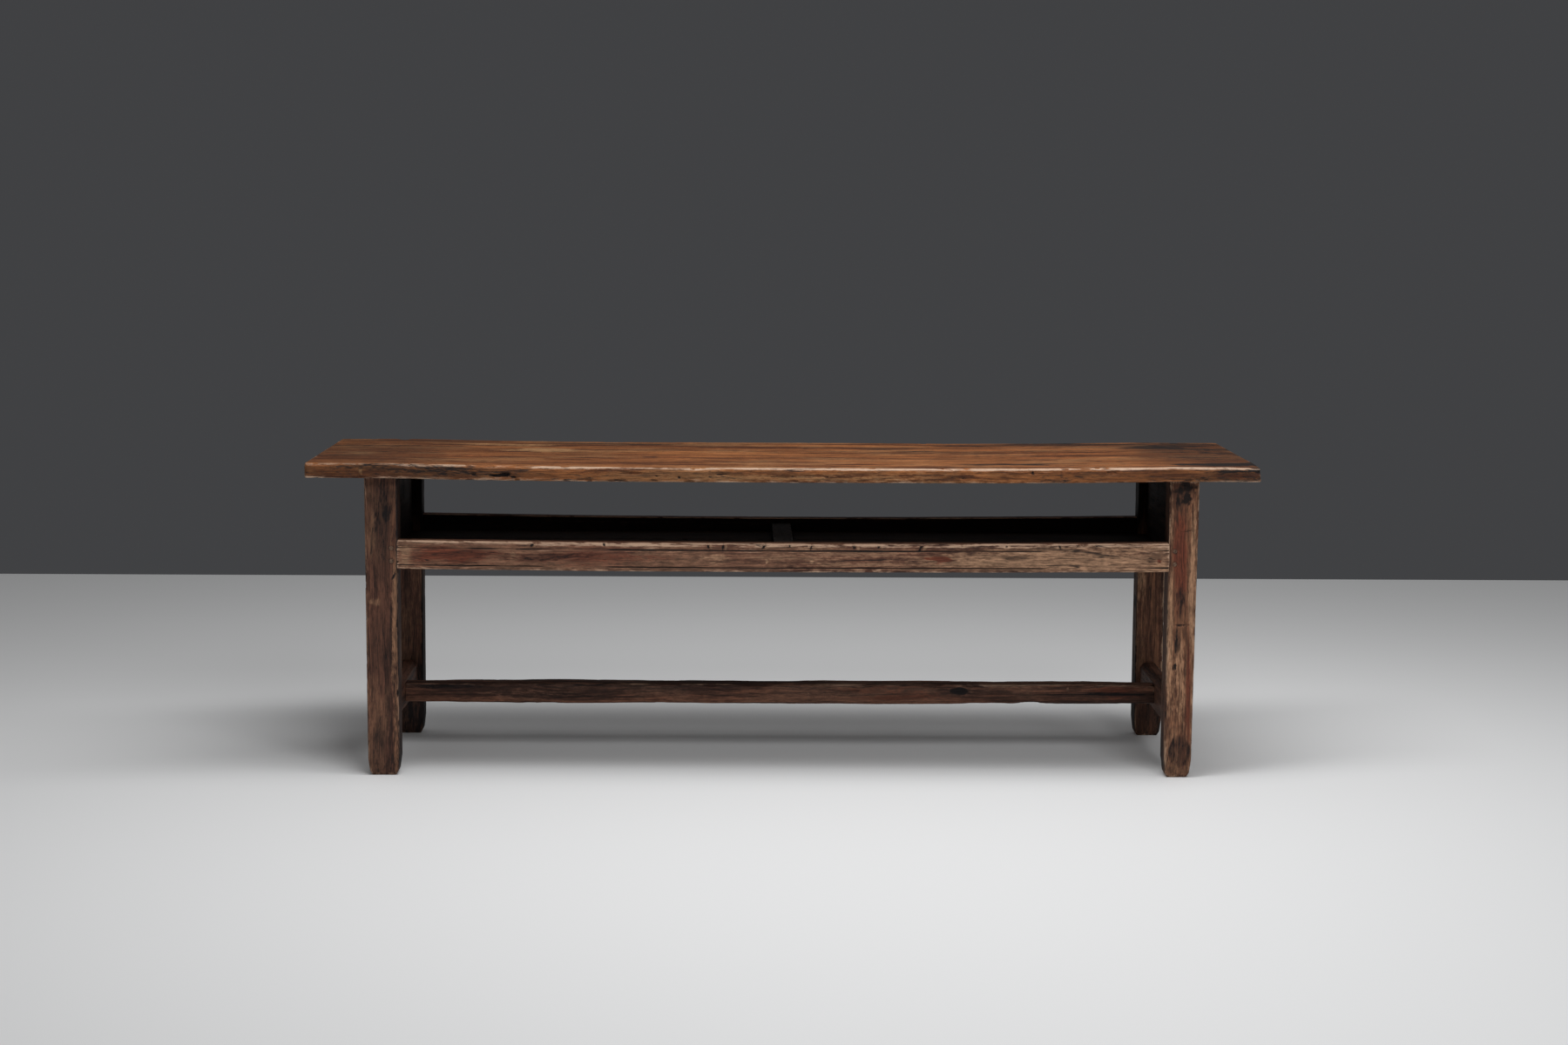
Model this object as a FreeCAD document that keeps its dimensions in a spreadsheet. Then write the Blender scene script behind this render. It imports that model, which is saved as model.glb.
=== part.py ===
import FreeCAD, Part
import math
import os
import re
import Sketcher

os.makedirs("parts", exist_ok=True)
doc = FreeCAD.newDocument("WorkTable")
sheet = doc.addObject("Spreadsheet::Sheet", "Sizes")

# Origin on the floor under the middle of the table, +X along its length,
# -Y the moulded front, +Z up. All sizes are in millimetres.
sizes = {
    # Plank top
    "floor_to_top": 780,            # upper face above the legs
    "top_length": 2334,
    "top_depth": 680,               # widest, at the middle of the length
    "top_thickness": 38,
    "top_sag": 6,                   # how far the middle hangs below the ends
    "top_level_length": 620,        # level stretch at the bottom of the sag
    "top_edge_bow": 9,              # long edges swell outwards at the middle
    "top_corner_radius": 14,
    "top_arris_radius": 8,
    "top_lower_chamfer": 3,
    # Legs
    "side_overhang": 43,            # top's widest edge past the outer faces of the legs
    "leg_depth": 62,
    "left_overhang": 141,           # top's end past the legs of that end
    "left_leg_width": 82,
    "left_leg_taper": 2,
    "right_overhang": 146,
    "right_leg_width": 74,
    "right_leg_taper": 5,
    "leg_arris_radius": 5,
    "foot_height": 45,              # the bevel starts here
    "foot_edge_height": 11,
    "foot_edge_inset": 4,
    "foot_sole_inset": 10,
    "head_tenon_height": 24,        # stub tenon that keys each leg into the top
    "head_tenon_thickness": 20,
    "head_tenon_shoulder": 12,
    # Long rails at shelf height
    "floor_to_rail": 515,
    "rail_height": 72.5,
    "rail_thickness": 40,
    "front_rail_sag": 4.5,
    "rear_rail_sag": 7,
    "rail_upper_arris_radius": 6,
    "rail_lower_arris_radius": 3,
    "rail_tenon_length": 55,
    "rail_tenon_thickness": 14,
    "rail_tenon_shoulder": 10,
    "upper_quirk_drop": 19,         # scratched lines that set off the worn bead
    "lower_quirk_rise": 11,
    "quirk_width": 2.4,
    "quirk_depth": 1.6,
    # End panels between the legs
    "top_end_to_panel": 197,        # to the panel's inner face
    "panel_thickness": 25,
    "panel_tongue_length": 24,
    "panel_tongue_thickness": 12,
    "panel_tongue_drop": 30,        # the tongue stops short of the leg's head
    "panel_chamfer": 2.5,
    # Shelf
    "floor_to_shelf": 527,          # underside of the boards
    "board_thickness": 18,
    "board_gap": 1.2,
    "board_arris": 1.5,
    "shelf_clearance": 0.4,
    "cleat_height": 12,
    "cleat_width": 25,
    "cross_rail_offset": 3,         # the bar stands a little right of the middle
    "cross_rail_width": 50,
    "cross_rail_base": 512,
    "cross_rail_top": 567,
    "cross_rail_ledge": 12,         # rebate that carries the boards' inner ends
    "cross_rail_arris": 2.5,
    "cross_tenon_length": 16,
    "cross_tenon_width": 30,
    "cross_tenon_rise": 9,
    "cross_tenon_height": 28,
    # Low stretchers
    "top_end_to_stretcher": 207,    # to the end stretcher's inner face
    "end_stretcher_thickness": 42,
    "floor_to_end_stretcher": 112,
    "end_stretcher_height": 88,
    "end_stretcher_chamfer": 11,
    "end_stretcher_round": 5,       # outer arrises
    "end_tenon_length": 40,
    "end_tenon_thickness": 16,
    "end_tenon_shoulder": 14,
    "floor_to_centre_stretcher": 130,
    "centre_stretcher_height": 58,
    "centre_stretcher_depth": 60,
    "centre_stretcher_chamfer": 9,
    "centre_tenon_width": 22,
    "centre_tenon_height": 34,
    # Pegs and fits
    "rail_peg_diameter": 11,
    "rail_peg_length": 45,
    "rail_peg_setback": 16,         # from the shoulder into the leg
    "rail_peg_spacing": 32,
    "panel_peg_diameter": 9,
    "panel_peg_length": 55,
    "panel_peg_setback": 12,
    "stretcher_peg_diameter": 11,
    "stretcher_peg_length": 55,
    "stretcher_peg_setback": 18,
    "centre_peg_diameter": 9,
    "centre_peg_length": 66,
    "peg_clearance": 0.3,
    "joint_clearance": 0.2,
    "overrun": 5,                   # how far a cut reaches past the face it opens
}

# Stations along the hewn centre stretcher and how its section swells at each
hewn_place_shares = (-1, -0.62, -0.28, 0.08, 0.45, 0.56, 0.8, 1)
hewn_lower_shares = (0.05, 0.01, 0.03, 0, 0.02, 0.06, 0.03, 0.08)
hewn_upper_shares = (0.94, 1, 0.97, 0.98, 1, 0.97, 1, 0.95)
hewn_front_shares = (0.93, 1, 0.96, 1, 0.97, 0.99, 0.95, 0.92)

# Heights of the end panel's pegs as shares of its tongue
panel_peg_shares = (0.43, 0.84)

for row, (name, value) in enumerate(sizes.items(), start=1):
    sheet.set(f"A{row}", name)
    sheet.set(f"B{row}", str(value))
    sheet.setAlias(f"B{row}", name)
doc.recompute()

peg_sides = 8

# Heights and faces that several pieces share, in words of the sheet
leg_top = "(floor_to_top - top_thickness)"
leg_front = "(top_depth / 2 - side_overhang)"
inner_leg_y = "(top_depth / 2 - side_overhang - leg_depth)"
rail_top = "(floor_to_rail + rail_height)"
rail_inner_y = "(top_depth / 2 - side_overhang - rail_thickness)"
rail_middle = "(top_depth / 2 - side_overhang - rail_thickness / 2)"
panel_inner = "(top_length / 2 - top_end_to_panel)"
panel_middle = "(top_length / 2 - top_end_to_panel + panel_thickness / 2)"
tongue_top = "(floor_to_top - top_thickness - panel_tongue_drop)"
shelf_top = "(floor_to_shelf + board_thickness)"
end_stretcher_inner = "(top_length / 2 - top_end_to_stretcher)"
end_stretcher_middle = "(top_length / 2 - top_end_to_stretcher + end_stretcher_thickness / 2)"
cross_tenon_low = "(cross_rail_base + cross_tenon_rise)"
cross_tenon_high = "(cross_rail_base + cross_tenon_rise + cross_tenon_height)"
end_stretcher_outer = "(top_length / 2 - top_end_to_stretcher + end_stretcher_thickness)"
end_stretcher_top = "(floor_to_end_stretcher + end_stretcher_height)"
centre_stretcher_middle = "(floor_to_centre_stretcher + centre_stretcher_height / 2)"

sides = {
    "left": {
        "sign": "-1", "outer": "(top_length / 2 - left_overhang)",
        "width": "left_leg_width", "taper": "left_leg_taper",
    },
    "right": {
        "sign": "1", "outer": "(top_length / 2 - right_overhang)",
        "width": "right_leg_width", "taper": "right_leg_taper",
    },
}
rows = {"front": "-1", "rear": "1"}


def formula(words):
    """Point each name in the words at its cell of the sheet, and leave functions such as abs( alone."""
    return re.sub(r"\b[a-z]\w+\b(?!\()", lambda found: "Sizes." + found.group(), words)


def number(words):
    return float(sheet.evalExpression(formula(words)))


def inner_x(side):
    """Inner face of a side's legs, on that side of the middle."""
    s = sides[side]
    return f"{s['sign']} * ({s['outer']} - {s['width']})"


def new_body(label):
    body = doc.addObject("PartDesign::Body", label)
    body.Label = label
    return body


def new_sketch(body, name, plane, level):
    """Sketch on an origin plane of the body, lifted along the plane's normal by level."""
    sketch = body.newObject("Sketcher::SketchObject", f"{body.Label}_{name}")
    support = next(f for f in body.Origin.OriginFeatures if f.Role == plane)
    sketch.AttachmentSupport = [(support, "")]
    sketch.MapMode = "FlatFace"
    sketch.setExpression("AttachmentOffset.Base.z", formula(level))
    return sketch


def bind(sketch, kind, place, words):
    """Drive one dimension of a sketch by the sheet."""
    index = sketch.addConstraint(Sketcher.Constraint(kind, *place, number(words)))
    sketch.setExpression(f"Constraints[{index}]", formula(words))


def arc_between(start, end, rise):
    """Arc from start to end whose middle lies rise to the left of the way there."""
    along = end - start
    left = FreeCAD.Vector(-along.y, along.x, 0).normalize()
    middle = (start + end) / 2 + left * rise
    radius = (along.Length ** 2 / 4 + rise ** 2) / (2 * abs(rise))
    centre = middle - left * radius * (1 if rise > 0 else -1)
    first, last = (end, start) if rise > 0 else (start, end)
    angles = [math.atan2(point.y - centre.y, point.x - centre.x) for point in (first, last)]
    return Part.ArcOfCircle(Part.Circle(centre, FreeCAD.Vector(0, 0, 1), radius), *angles)


def draw(sketch, corners):
    """Closed outline. A corner is (x, y) in words, or (x, y, rise) where an arc leads to the next one."""
    points = [FreeCAD.Vector(number(c[0]), number(c[1]), 0) for c in corners]
    first = sketch.GeometryCount
    ends = []
    for i, corner in enumerate(corners):
        start, end = points[i], points[(i + 1) % len(points)]
        if len(corner) == 2:
            sketch.addGeometry(Part.LineSegment(start, end))
            ends.append((1, 2))
        else:
            rise = number(corner[2])
            sketch.addGeometry(arc_between(start, end, rise))
            ends.append((2, 1) if rise > 0 else (1, 2))
    for i, corner in enumerate(corners):
        following = (i + 1) % len(corners)
        here = first + i
        meeting = (here, ends[i][1], first + following, ends[following][0])
        sketch.addConstraint(Sketcher.Constraint("Coincident", *meeting))
        bind(sketch, "DistanceX", (here, ends[i][0]), corner[0])
        bind(sketch, "DistanceY", (here, ends[i][0]), corner[1])
        if len(corner) == 3:
            x, y, rise = corner
            to_x, to_y = corners[following][:2]
            chord = f"((({to_x}) - ({x})) ^ 2 + (({to_y}) - ({y})) ^ 2)"
            bind(sketch, "Radius", (here,), f"abs(({chord} / 4 + ({rise}) ^ 2) / (2 * ({rise})))")


def draw_box(sketch, xs, ys):
    draw(sketch, [(xs[0], ys[0]), (xs[1], ys[0]), (xs[1], ys[1]), (xs[0], ys[1])])


def draw_rounded_box(sketch, xs, ys, radius):
    """Rectangle between two x and two y with four equal round corners."""
    x0, x1 = sorted(xs, key=number)
    y0, y1 = sorted(ys, key=number)
    left, right, low, high, r = (number(w) for w in (x0, x1, y0, y1, radius))
    point = FreeCAD.Vector
    lines = [
        (point(left + r, low), point(right - r, low)),
        (point(right, low + r), point(right, high - r)),
        (point(right - r, high), point(left + r, high)),
        (point(left, high - r), point(left, low + r)),
    ]
    for i, (start, end) in enumerate(lines):
        sketch.addGeometry(Part.LineSegment(start, end))
        after = lines[(i + 1) % 4][0]
        bulge = (after - end).Length * (2 ** 0.5 - 1) / 2
        sketch.addGeometry(arc_between(end, after, -bulge))
    for i, level in enumerate(("Horizontal", "Vertical", "Horizontal", "Vertical")):
        sketch.addConstraint(Sketcher.Constraint(level, 2 * i))
        sketch.addConstraint(Sketcher.Constraint("Tangent", 2 * i, 2, 2 * i + 1, 1))
        sketch.addConstraint(Sketcher.Constraint("Tangent", 2 * i + 1, 2, (2 * i + 2) % 8, 1))
    for i in (3, 5, 7):
        sketch.addConstraint(Sketcher.Constraint("Equal", 1, i))
    bind(sketch, "Radius", (1,), radius)
    bind(sketch, "DistanceY", (0, 1), y0)
    bind(sketch, "DistanceX", (2, 1), x1)
    bind(sketch, "DistanceY", (4, 1), y1)
    bind(sketch, "DistanceX", (6, 1), x0)


def draw_octagons(sketch, centres, radius):
    """Eight-sided outlines with flats square to the sketch's axes, radius measured to the corners."""
    for x, y in centres:
        turns = [math.pi * (2 * i + 1) / peg_sides for i in range(peg_sides)]
        draw(sketch, [(f"{x} + {math.cos(turn)} * {radius}", f"{y} + {math.sin(turn)} * {radius}")
                      for turn in turns])


def extrude(body, kind, sketch, length):
    """Pad or Pocket that reaches half its length to each side of the sketch."""
    feature = body.newObject(f"PartDesign::{kind}", f"{sketch.Label}_{kind.lower()}")
    feature.Profile = sketch
    feature.SideType = "Symmetric"
    feature.setExpression("Length", formula(length))
    return feature


def soften(body, kind, keep, size):
    """Fillet or Chamfer on the edges of the body so far that keep() picks."""
    doc.recompute()
    base = body.Tip
    names = [f"Edge{i + 1}" for i, edge in enumerate(base.Shape.Edges) if keep(edge)]
    feature = body.newObject(f"PartDesign::{kind}", f"{body.Label}_{kind.lower()}_{len(body.Group)}")
    feature.Base = (base, names)
    feature.setExpression("Radius" if kind == "Fillet" else "Size", formula(size))
    return feature


def loft(body, name, sketches):
    feature = body.newObject("PartDesign::AdditiveLoft", f"{body.Label}_{name}")
    feature.Profile = sketches[0]
    feature.Sections = sketches[1:]
    feature.Ruled = True
    return feature


def runs_along(edge, axis):
    """True where the edge's two ends differ mostly along one axis, 0 for X, 1 for Y, 2 for Z."""
    start, end = (vertex.Point for vertex in (edge.Vertexes[0], edge.Vertexes[-1]))
    reach = [abs(end[i] - start[i]) for i in range(3)]
    return reach[axis] > sum(reach) / 2


def top_face(level):
    """Corners of one face of the sagging plank, left to right, at its level over the legs."""
    bearing = "(top_length / 2 - left_overhang - left_leg_width)"
    low = f"({level} - top_sag)"
    half = "(top_level_length / 2)"
    run = f"(({bearing} - {half}) ^ 2 + top_sag ^ 2)"
    radius = f"({run} / (2 * top_sag))"
    rise = f"({radius} - sqrt({radius} ^ 2 - {run} / 4))"
    return [
        ("-top_length / 2", level),
        (f"-{bearing}", level, f"-{rise}"),
        (f"-{half}", low),
        (half, low, f"-{rise}"),
        (bearing, level),
        ("top_length / 2", level),
    ]


def mirrored_run(corners):
    """The same corners from right to left, with each arc's rise turned round."""
    turned = []
    for i, corner in enumerate(reversed(corners)):
        before = corners[len(corners) - 2 - i] if i < len(corners) - 1 else ()
        rise = (f"-({before[2]})",) if len(before) == 3 else ()
        turned.append(tuple(corner[:2]) + rise)
    return turned


def make_table_top():
    """One thick plank, sagging between the legs, its long edges bowed and its upper arris worn round."""
    body = new_body("table_top")
    elevation = new_sketch(body, "elevation", "XZ_Plane", "0")
    lower = top_face(leg_top)
    upper = mirrored_run(top_face("floor_to_top"))
    draw(elevation, lower + upper)
    extrude(body, "Pad", elevation, "top_depth")
    for name, sign in rows.items():
        edge = f"{sign} * (top_depth / 2 - top_edge_bow)"
        beyond = f"{sign} * (top_depth / 2 + overrun)"
        rise = "-top_edge_bow" if sign == "-1" else "top_edge_bow"
        plan = new_sketch(body, f"{name}_bow", "XY_Plane", leg_top)
        draw(plan, [
            ("-top_length / 2", edge, rise),
            ("top_length / 2", edge),
            ("top_length / 2 + overrun", edge),
            ("top_length / 2 + overrun", beyond),
            ("-top_length / 2 - overrun", beyond),
            ("-top_length / 2 - overrun", edge),
        ])
        extrude(body, "Pocket", plan, "4 * top_thickness")
    soften(body, "Fillet", lambda edge: runs_along(edge, 2), "top_corner_radius")
    rim = number("top_depth / 2 - top_edge_bow - top_corner_radius")
    end = number("top_length / 2 - top_corner_radius")
    upper = number("floor_to_top - top_sag - top_thickness / 4")
    lower = number(f"{leg_top} + top_thickness / 4")

    def on_rim(edge):
        centre = edge.CenterOfMass
        return abs(centre.y) > rim or abs(centre.x) > end

    soften(body, "Fillet", lambda edge: on_rim(edge) and edge.CenterOfMass.z > upper, "top_arris_radius")
    soften(body, "Chamfer", lambda edge: on_rim(edge) and edge.CenterOfMass.z < lower, "top_lower_chamfer")
    for side in sides:
        for row in rows:
            socket = new_sketch(body, f"{side}_{row}_socket", "XY_Plane", leg_top)
            xs, ys = head_tenon(side, row, "joint_clearance")
            draw_box(socket, xs, ys)
            extrude(body, "Pocket", socket, "2 * (head_tenon_height + joint_clearance)")


def head_tenon(side, row, play):
    """Plan of the stub tenon on a leg's head, grown all round by the play."""
    s = sides[side]
    middle_x = f"{s['sign']} * ({s['outer']} - {s['width']} / 2)"
    middle_y = f"{rows[row]} * ({leg_front} - leg_depth / 2)"
    half_x = f"(head_tenon_thickness / 2 + {play})"
    half_y = f"(leg_depth / 2 - head_tenon_shoulder + {play})"
    return ((f"{middle_x} - {half_x}", f"{middle_x} + {half_x}"),
            (f"{middle_y} - {half_y}", f"{middle_y} + {half_y}"))


def make_leg(side, row):
    """Square post, tapered on its outer side, with a bevelled foot and its mortises and peg holes."""
    s = sides[side]
    body = new_body(f"{row}_{side}_leg")
    stations = (
        ("sole", "0", s["taper"], "foot_sole_inset"),
        ("edge", "foot_edge_height", s["taper"], "foot_edge_inset"),
        ("foot", "foot_height", s["taper"], "0"),
        ("head", leg_top, "0", "0"),
    )
    sections = []
    for name, level, taper, inset in stations:
        section = new_sketch(body, name, "XY_Plane", level)
        outer = f"{s['sign']} * ({s['outer']} - {taper} - {inset})"
        inner = f"{s['sign']} * ({s['outer']} - {s['width']} + {inset})"
        near = f"{rows[row]} * ({inner_leg_y} + {inset})"
        far = f"{rows[row]} * ({leg_front} - {inset})"
        draw_rounded_box(section, (inner, outer), (near, far), "leg_arris_radius")
        sections.append(section)
    loft(body, "post", sections)
    head = new_sketch(body, "head_tenon", "XY_Plane", leg_top)
    draw_box(head, *head_tenon(side, row, "0"))
    extrude(body, "Pad", head, "2 * head_tenon_height")
    rail_mortise = new_sketch(body, "rail_mortise", "XZ_Plane", f"-({rows[row]}) * {rail_middle}")
    inner = inner_x(side)
    draw_box(rail_mortise,
             (f"{inner} - {s['sign']} * overrun",
              f"{inner} + {s['sign']} * (rail_tenon_length + joint_clearance)"),
             ("floor_to_rail + rail_tenon_shoulder - joint_clearance",
              f"{rail_top} - rail_tenon_shoulder + joint_clearance"))
    extrude(body, "Pocket", rail_mortise, "rail_tenon_thickness + 2 * joint_clearance")
    panel_mortise = new_sketch(body, "panel_mortise", "YZ_Plane", f"{s['sign']} * {panel_middle}")
    draw_box(panel_mortise,
             (f"{rows[row]} * ({inner_leg_y} - overrun)",
              f"{rows[row]} * ({inner_leg_y} + panel_tongue_length + joint_clearance)"),
             ("floor_to_rail - joint_clearance", f"{tongue_top} + joint_clearance"))
    extrude(body, "Pocket", panel_mortise, "panel_tongue_thickness + 2 * joint_clearance")
    low_mortise = new_sketch(body, "stretcher_mortise", "YZ_Plane", f"{s['sign']} * {end_stretcher_middle}")
    draw_box(low_mortise,
             (f"{rows[row]} * ({inner_leg_y} - overrun)",
              f"{rows[row]} * ({inner_leg_y} + end_tenon_length + joint_clearance)"),
             ("floor_to_end_stretcher + end_tenon_shoulder - joint_clearance",
              f"{end_stretcher_top} - end_tenon_shoulder + joint_clearance"))
    extrude(body, "Pocket", low_mortise, "end_tenon_thickness + 2 * joint_clearance")
    bore_pegs(body, rail_pegs(side, row))
    bore_pegs(body, panel_pegs(side, row))
    bore_pegs(body, stretcher_pegs(side, row))


def rail_pegs(side, row):
    """Two pegs that run back from the leg's outer face through the rail's tenon."""
    s = sides[side]
    x = f"{s['sign']} * ({s['outer']} - {s['width']} + rail_peg_setback)"
    middle = "(floor_to_rail + rail_height / 2)"
    return {
        "name": f"{side}_rail_peg", "plane": "XZ_Plane", "diameter": "rail_peg_diameter",
        "face": f"-({rows[row]}) * {leg_front}", "inward": rows[row], "length": "rail_peg_length",
        "centres": [(x, f"{middle} - rail_peg_spacing / 2"), (x, f"{middle} + rail_peg_spacing / 2")],
    }


def panel_pegs(side, row):
    """Two pegs that run in from the leg's outer side through the panel's tongue."""
    s = sides[side]
    y = f"{rows[row]} * ({inner_leg_y} + panel_peg_setback)"
    heights = [f"floor_to_rail + {share} * ({tongue_top} - floor_to_rail)" for share in panel_peg_shares]
    return {
        "name": f"{row}_panel_peg", "plane": "YZ_Plane", "diameter": "panel_peg_diameter",
        "face": f"{s['sign']} * {s['outer']}", "inward": f"-({s['sign']})", "length": "panel_peg_length",
        "centres": [(y, height) for height in heights],
    }


def stretcher_pegs(side, row):
    """One peg through the end stretcher's tenon, in from the leg's outer side."""
    s = sides[side]
    y = f"{rows[row]} * ({inner_leg_y} + stretcher_peg_setback)"
    return {
        "name": f"{row}_stretcher_peg", "plane": "YZ_Plane", "diameter": "stretcher_peg_diameter",
        "face": f"{s['sign']} * ({s['outer']} - {s['taper']})", "inward": f"-({s['sign']})",
        "length": "stretcher_peg_length",
        "centres": [(y, "floor_to_end_stretcher + end_stretcher_height / 2")],
    }


def centre_pegs(side):
    """One upright peg through an end stretcher and the centre stretcher's through tenon."""
    s = sides[side]
    x = f"{s['sign']} * {end_stretcher_middle}"
    return {
        "name": f"{side}_centre_peg", "plane": "XY_Plane", "diameter": "centre_peg_diameter",
        "face": end_stretcher_top, "inward": "-1",
        "length": "centre_peg_length",
        "centres": [(x, "0")],
    }


def bore_pegs(body, pegs):
    """Holes that a set of riven pegs has bruised to its own eight sides, open where it is driven in."""
    holes = new_sketch(body, f"{pegs['name']}_holes", pegs["plane"], pegs["face"])
    draw_octagons(holes, pegs["centres"], f"({pegs['diameter']} / 2 + peg_clearance)")
    extrude(body, "Pocket", holes, f"2 * ({pegs['length']} + peg_clearance)")


def make_pegs(label, sets):
    """All the like pegs of one place as a group of separate solids."""
    group = []
    for pegs in sets:
        normal = {"XZ_Plane": FreeCAD.Vector(0, -1, 0), "YZ_Plane": FreeCAD.Vector(1, 0, 0),
                  "XY_Plane": FreeCAD.Vector(0, 0, 1)}[pegs["plane"]]
        for across, up in pegs["centres"]:
            peg = doc.addObject("Part::Prism", f"{label}_{len(group) + 1}")
            peg.Polygon = peg_sides
            peg.setExpression("Circumradius", formula(f"{pegs['diameter']} / 2"))
            peg.setExpression("Height", formula(pegs["length"]))
            group.append(peg)
            place_peg(peg, pegs, across, up, normal)
    compound = doc.addObject("Part::Compound", label)
    compound.Label = label
    compound.Links = group


def place_peg(peg, pegs, across, up, normal):
    """Stand the peg's axis along its driving direction, with its outer end on the face."""
    words = {
        "XZ_Plane": (across, f"-({pegs['face']})", up),
        "YZ_Plane": (pegs["face"], across, up),
        "XY_Plane": (across, up, pegs["face"]),
    }[pegs["plane"]]
    inward = normal * number(pegs["inward"])
    upright = FreeCAD.Vector(0, 0, 1)
    half_side = FreeCAD.Rotation(upright, 180 / peg_sides)
    peg.Placement = FreeCAD.Placement(FreeCAD.Vector(), FreeCAD.Rotation(upright, inward) * half_side)
    for axis, value in zip("xyz", words):
        peg.setExpression(f"Placement.Base.{axis}", formula(value))


def make_rail(row):
    """Long rail that sags with age, tenoned into both legs; the front one carries a scratched bead."""
    body = new_body(f"{row}_rail")
    sag = f"{row}_rail_sag"
    middle = f"-({rows[row]}) * {rail_middle}"
    left, right = inner_x("left"), inner_x("right")
    elevation = new_sketch(body, "elevation", "XZ_Plane", middle)
    draw(elevation, [
        (left, "floor_to_rail", f"-{sag}"),
        (right, "floor_to_rail"),
        (right, rail_top, sag),
        (left, rail_top),
    ])
    extrude(body, "Pad", elevation, "rail_thickness")
    half_way = number("floor_to_rail + rail_height / 2")
    soften(body, "Fillet", lambda edge: runs_along(edge, 0) and edge.CenterOfMass.z > half_way,
           "rail_upper_arris_radius")
    soften(body, "Fillet", lambda edge: runs_along(edge, 0) and edge.CenterOfMass.z < half_way,
           "rail_lower_arris_radius")
    for side in sides:
        sign = sides[side]["sign"]
        tenon = new_sketch(body, f"{side}_tenon", "XZ_Plane", middle)
        draw_box(tenon, (inner_x(side), f"{inner_x(side)} + {sign} * rail_tenon_length"),
                 ("floor_to_rail + rail_tenon_shoulder", f"{rail_top} - rail_tenon_shoulder"))
        extrude(body, "Pad", tenon, "rail_tenon_thickness")
        bore_pegs(body, rail_pegs(side, row))
    level = f"({cross_tenon_low} + {cross_tenon_high}) / 2"
    socket = new_sketch(body, "cross_rail_mortise", "XY_Plane", level)
    inner = f"{rows[row]} * ({rail_inner_y} - overrun)"
    bottom = f"{rows[row]} * ({rail_inner_y} + cross_tenon_length + joint_clearance)"
    half = "(cross_tenon_width / 2 + joint_clearance)"
    draw_box(socket, (f"cross_rail_offset - {half}", f"cross_rail_offset + {half}"), (inner, bottom))
    extrude(body, "Pocket", socket, "cross_tenon_height + 2 * joint_clearance")
    if row == "front":
        scratch_quirks(body, left, right, sag)


def scratch_quirks(body, left, right, sag):
    """Two shallow lines along the rail's face that follow its sag."""
    lines = {
        "upper_quirk": f"({rail_top} - upper_quirk_drop)",
        "lower_quirk": "(floor_to_rail + lower_quirk_rise)",
    }
    for name, level in lines.items():
        quirk = new_sketch(body, name, "XZ_Plane", leg_front)
        draw(quirk, [
            (left, f"{level} - quirk_width / 2", f"-{sag}"),
            (right, f"{level} - quirk_width / 2"),
            (right, f"{level} + quirk_width / 2", sag),
            (left, f"{level} + quirk_width / 2"),
        ])
        extrude(body, "Pocket", quirk, "2 * quirk_depth")


def make_end_panel(side):
    """Deep board that closes the end above the shelf, tongued into both legs."""
    s = sides[side]
    body = new_body(f"{side}_end_panel")
    middle = f"{s['sign']} * {panel_middle}"
    board = new_sketch(body, "board", "YZ_Plane", middle)
    draw_box(board, (f"-{inner_leg_y}", inner_leg_y), ("floor_to_rail", leg_top))
    extrude(body, "Pad", board, "panel_thickness")
    lower = number("floor_to_rail")
    near = number("panel_chamfer")
    soften(body, "Chamfer", lambda edge: runs_along(edge, 1) and edge.CenterOfMass.z < lower + near,
           "panel_chamfer")
    for row, sign in rows.items():
        tongue = new_sketch(body, f"{row}_tongue", "YZ_Plane", middle)
        draw_box(tongue, (f"{sign} * {inner_leg_y}", f"{sign} * ({inner_leg_y} + panel_tongue_length)"),
                 ("floor_to_rail", tongue_top))
        extrude(body, "Pad", tongue, "panel_tongue_thickness")
        bore_pegs(body, panel_pegs(side, row))


def make_cross_rail():
    """Bar across the middle, rebated on both sides to carry the boards, tenoned into the long rails."""
    body = new_body("centre_cross_rail")
    section = new_sketch(body, "section", "XZ_Plane", "0")
    half = "(cross_rail_width / 2)"
    wide = "(cross_rail_width / 2 + cross_rail_ledge)"
    draw(section, [
        (f"cross_rail_offset - {wide}", "cross_rail_base"),
        (f"cross_rail_offset + {wide}", "cross_rail_base"),
        (f"cross_rail_offset + {wide}", "floor_to_shelf"),
        (f"cross_rail_offset + {half}", "floor_to_shelf"),
        (f"cross_rail_offset + {half}", "cross_rail_top"),
        (f"cross_rail_offset - {half}", "cross_rail_top"),
        (f"cross_rail_offset - {half}", "floor_to_shelf"),
        (f"cross_rail_offset - {wide}", "floor_to_shelf"),
    ])
    extrude(body, "Pad", section, f"2 * {rail_inner_y}")
    upper = number("cross_rail_top - cross_rail_arris")
    soften(body, "Chamfer", lambda edge: runs_along(edge, 1) and edge.CenterOfMass.z > upper,
           "cross_rail_arris")
    tenon = new_sketch(body, "tenons", "XZ_Plane", "0")
    draw_box(tenon,
             ("cross_rail_offset - cross_tenon_width / 2", "cross_rail_offset + cross_tenon_width / 2"),
             (cross_tenon_low, cross_tenon_high))
    extrude(body, "Pad", tenon, f"2 * ({rail_inner_y} + cross_tenon_length)")


def board_edges(place):
    """Near and far long edges of a shelf board, from the front, with gaps between the three."""
    pitch = f"((2 * ({rail_inner_y} - shelf_clearance) + board_gap) / 3)"
    start = f"(-{rail_inner_y} + shelf_clearance + {place} * {pitch})"
    return start, f"({start} + {pitch} - board_gap)"


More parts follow.
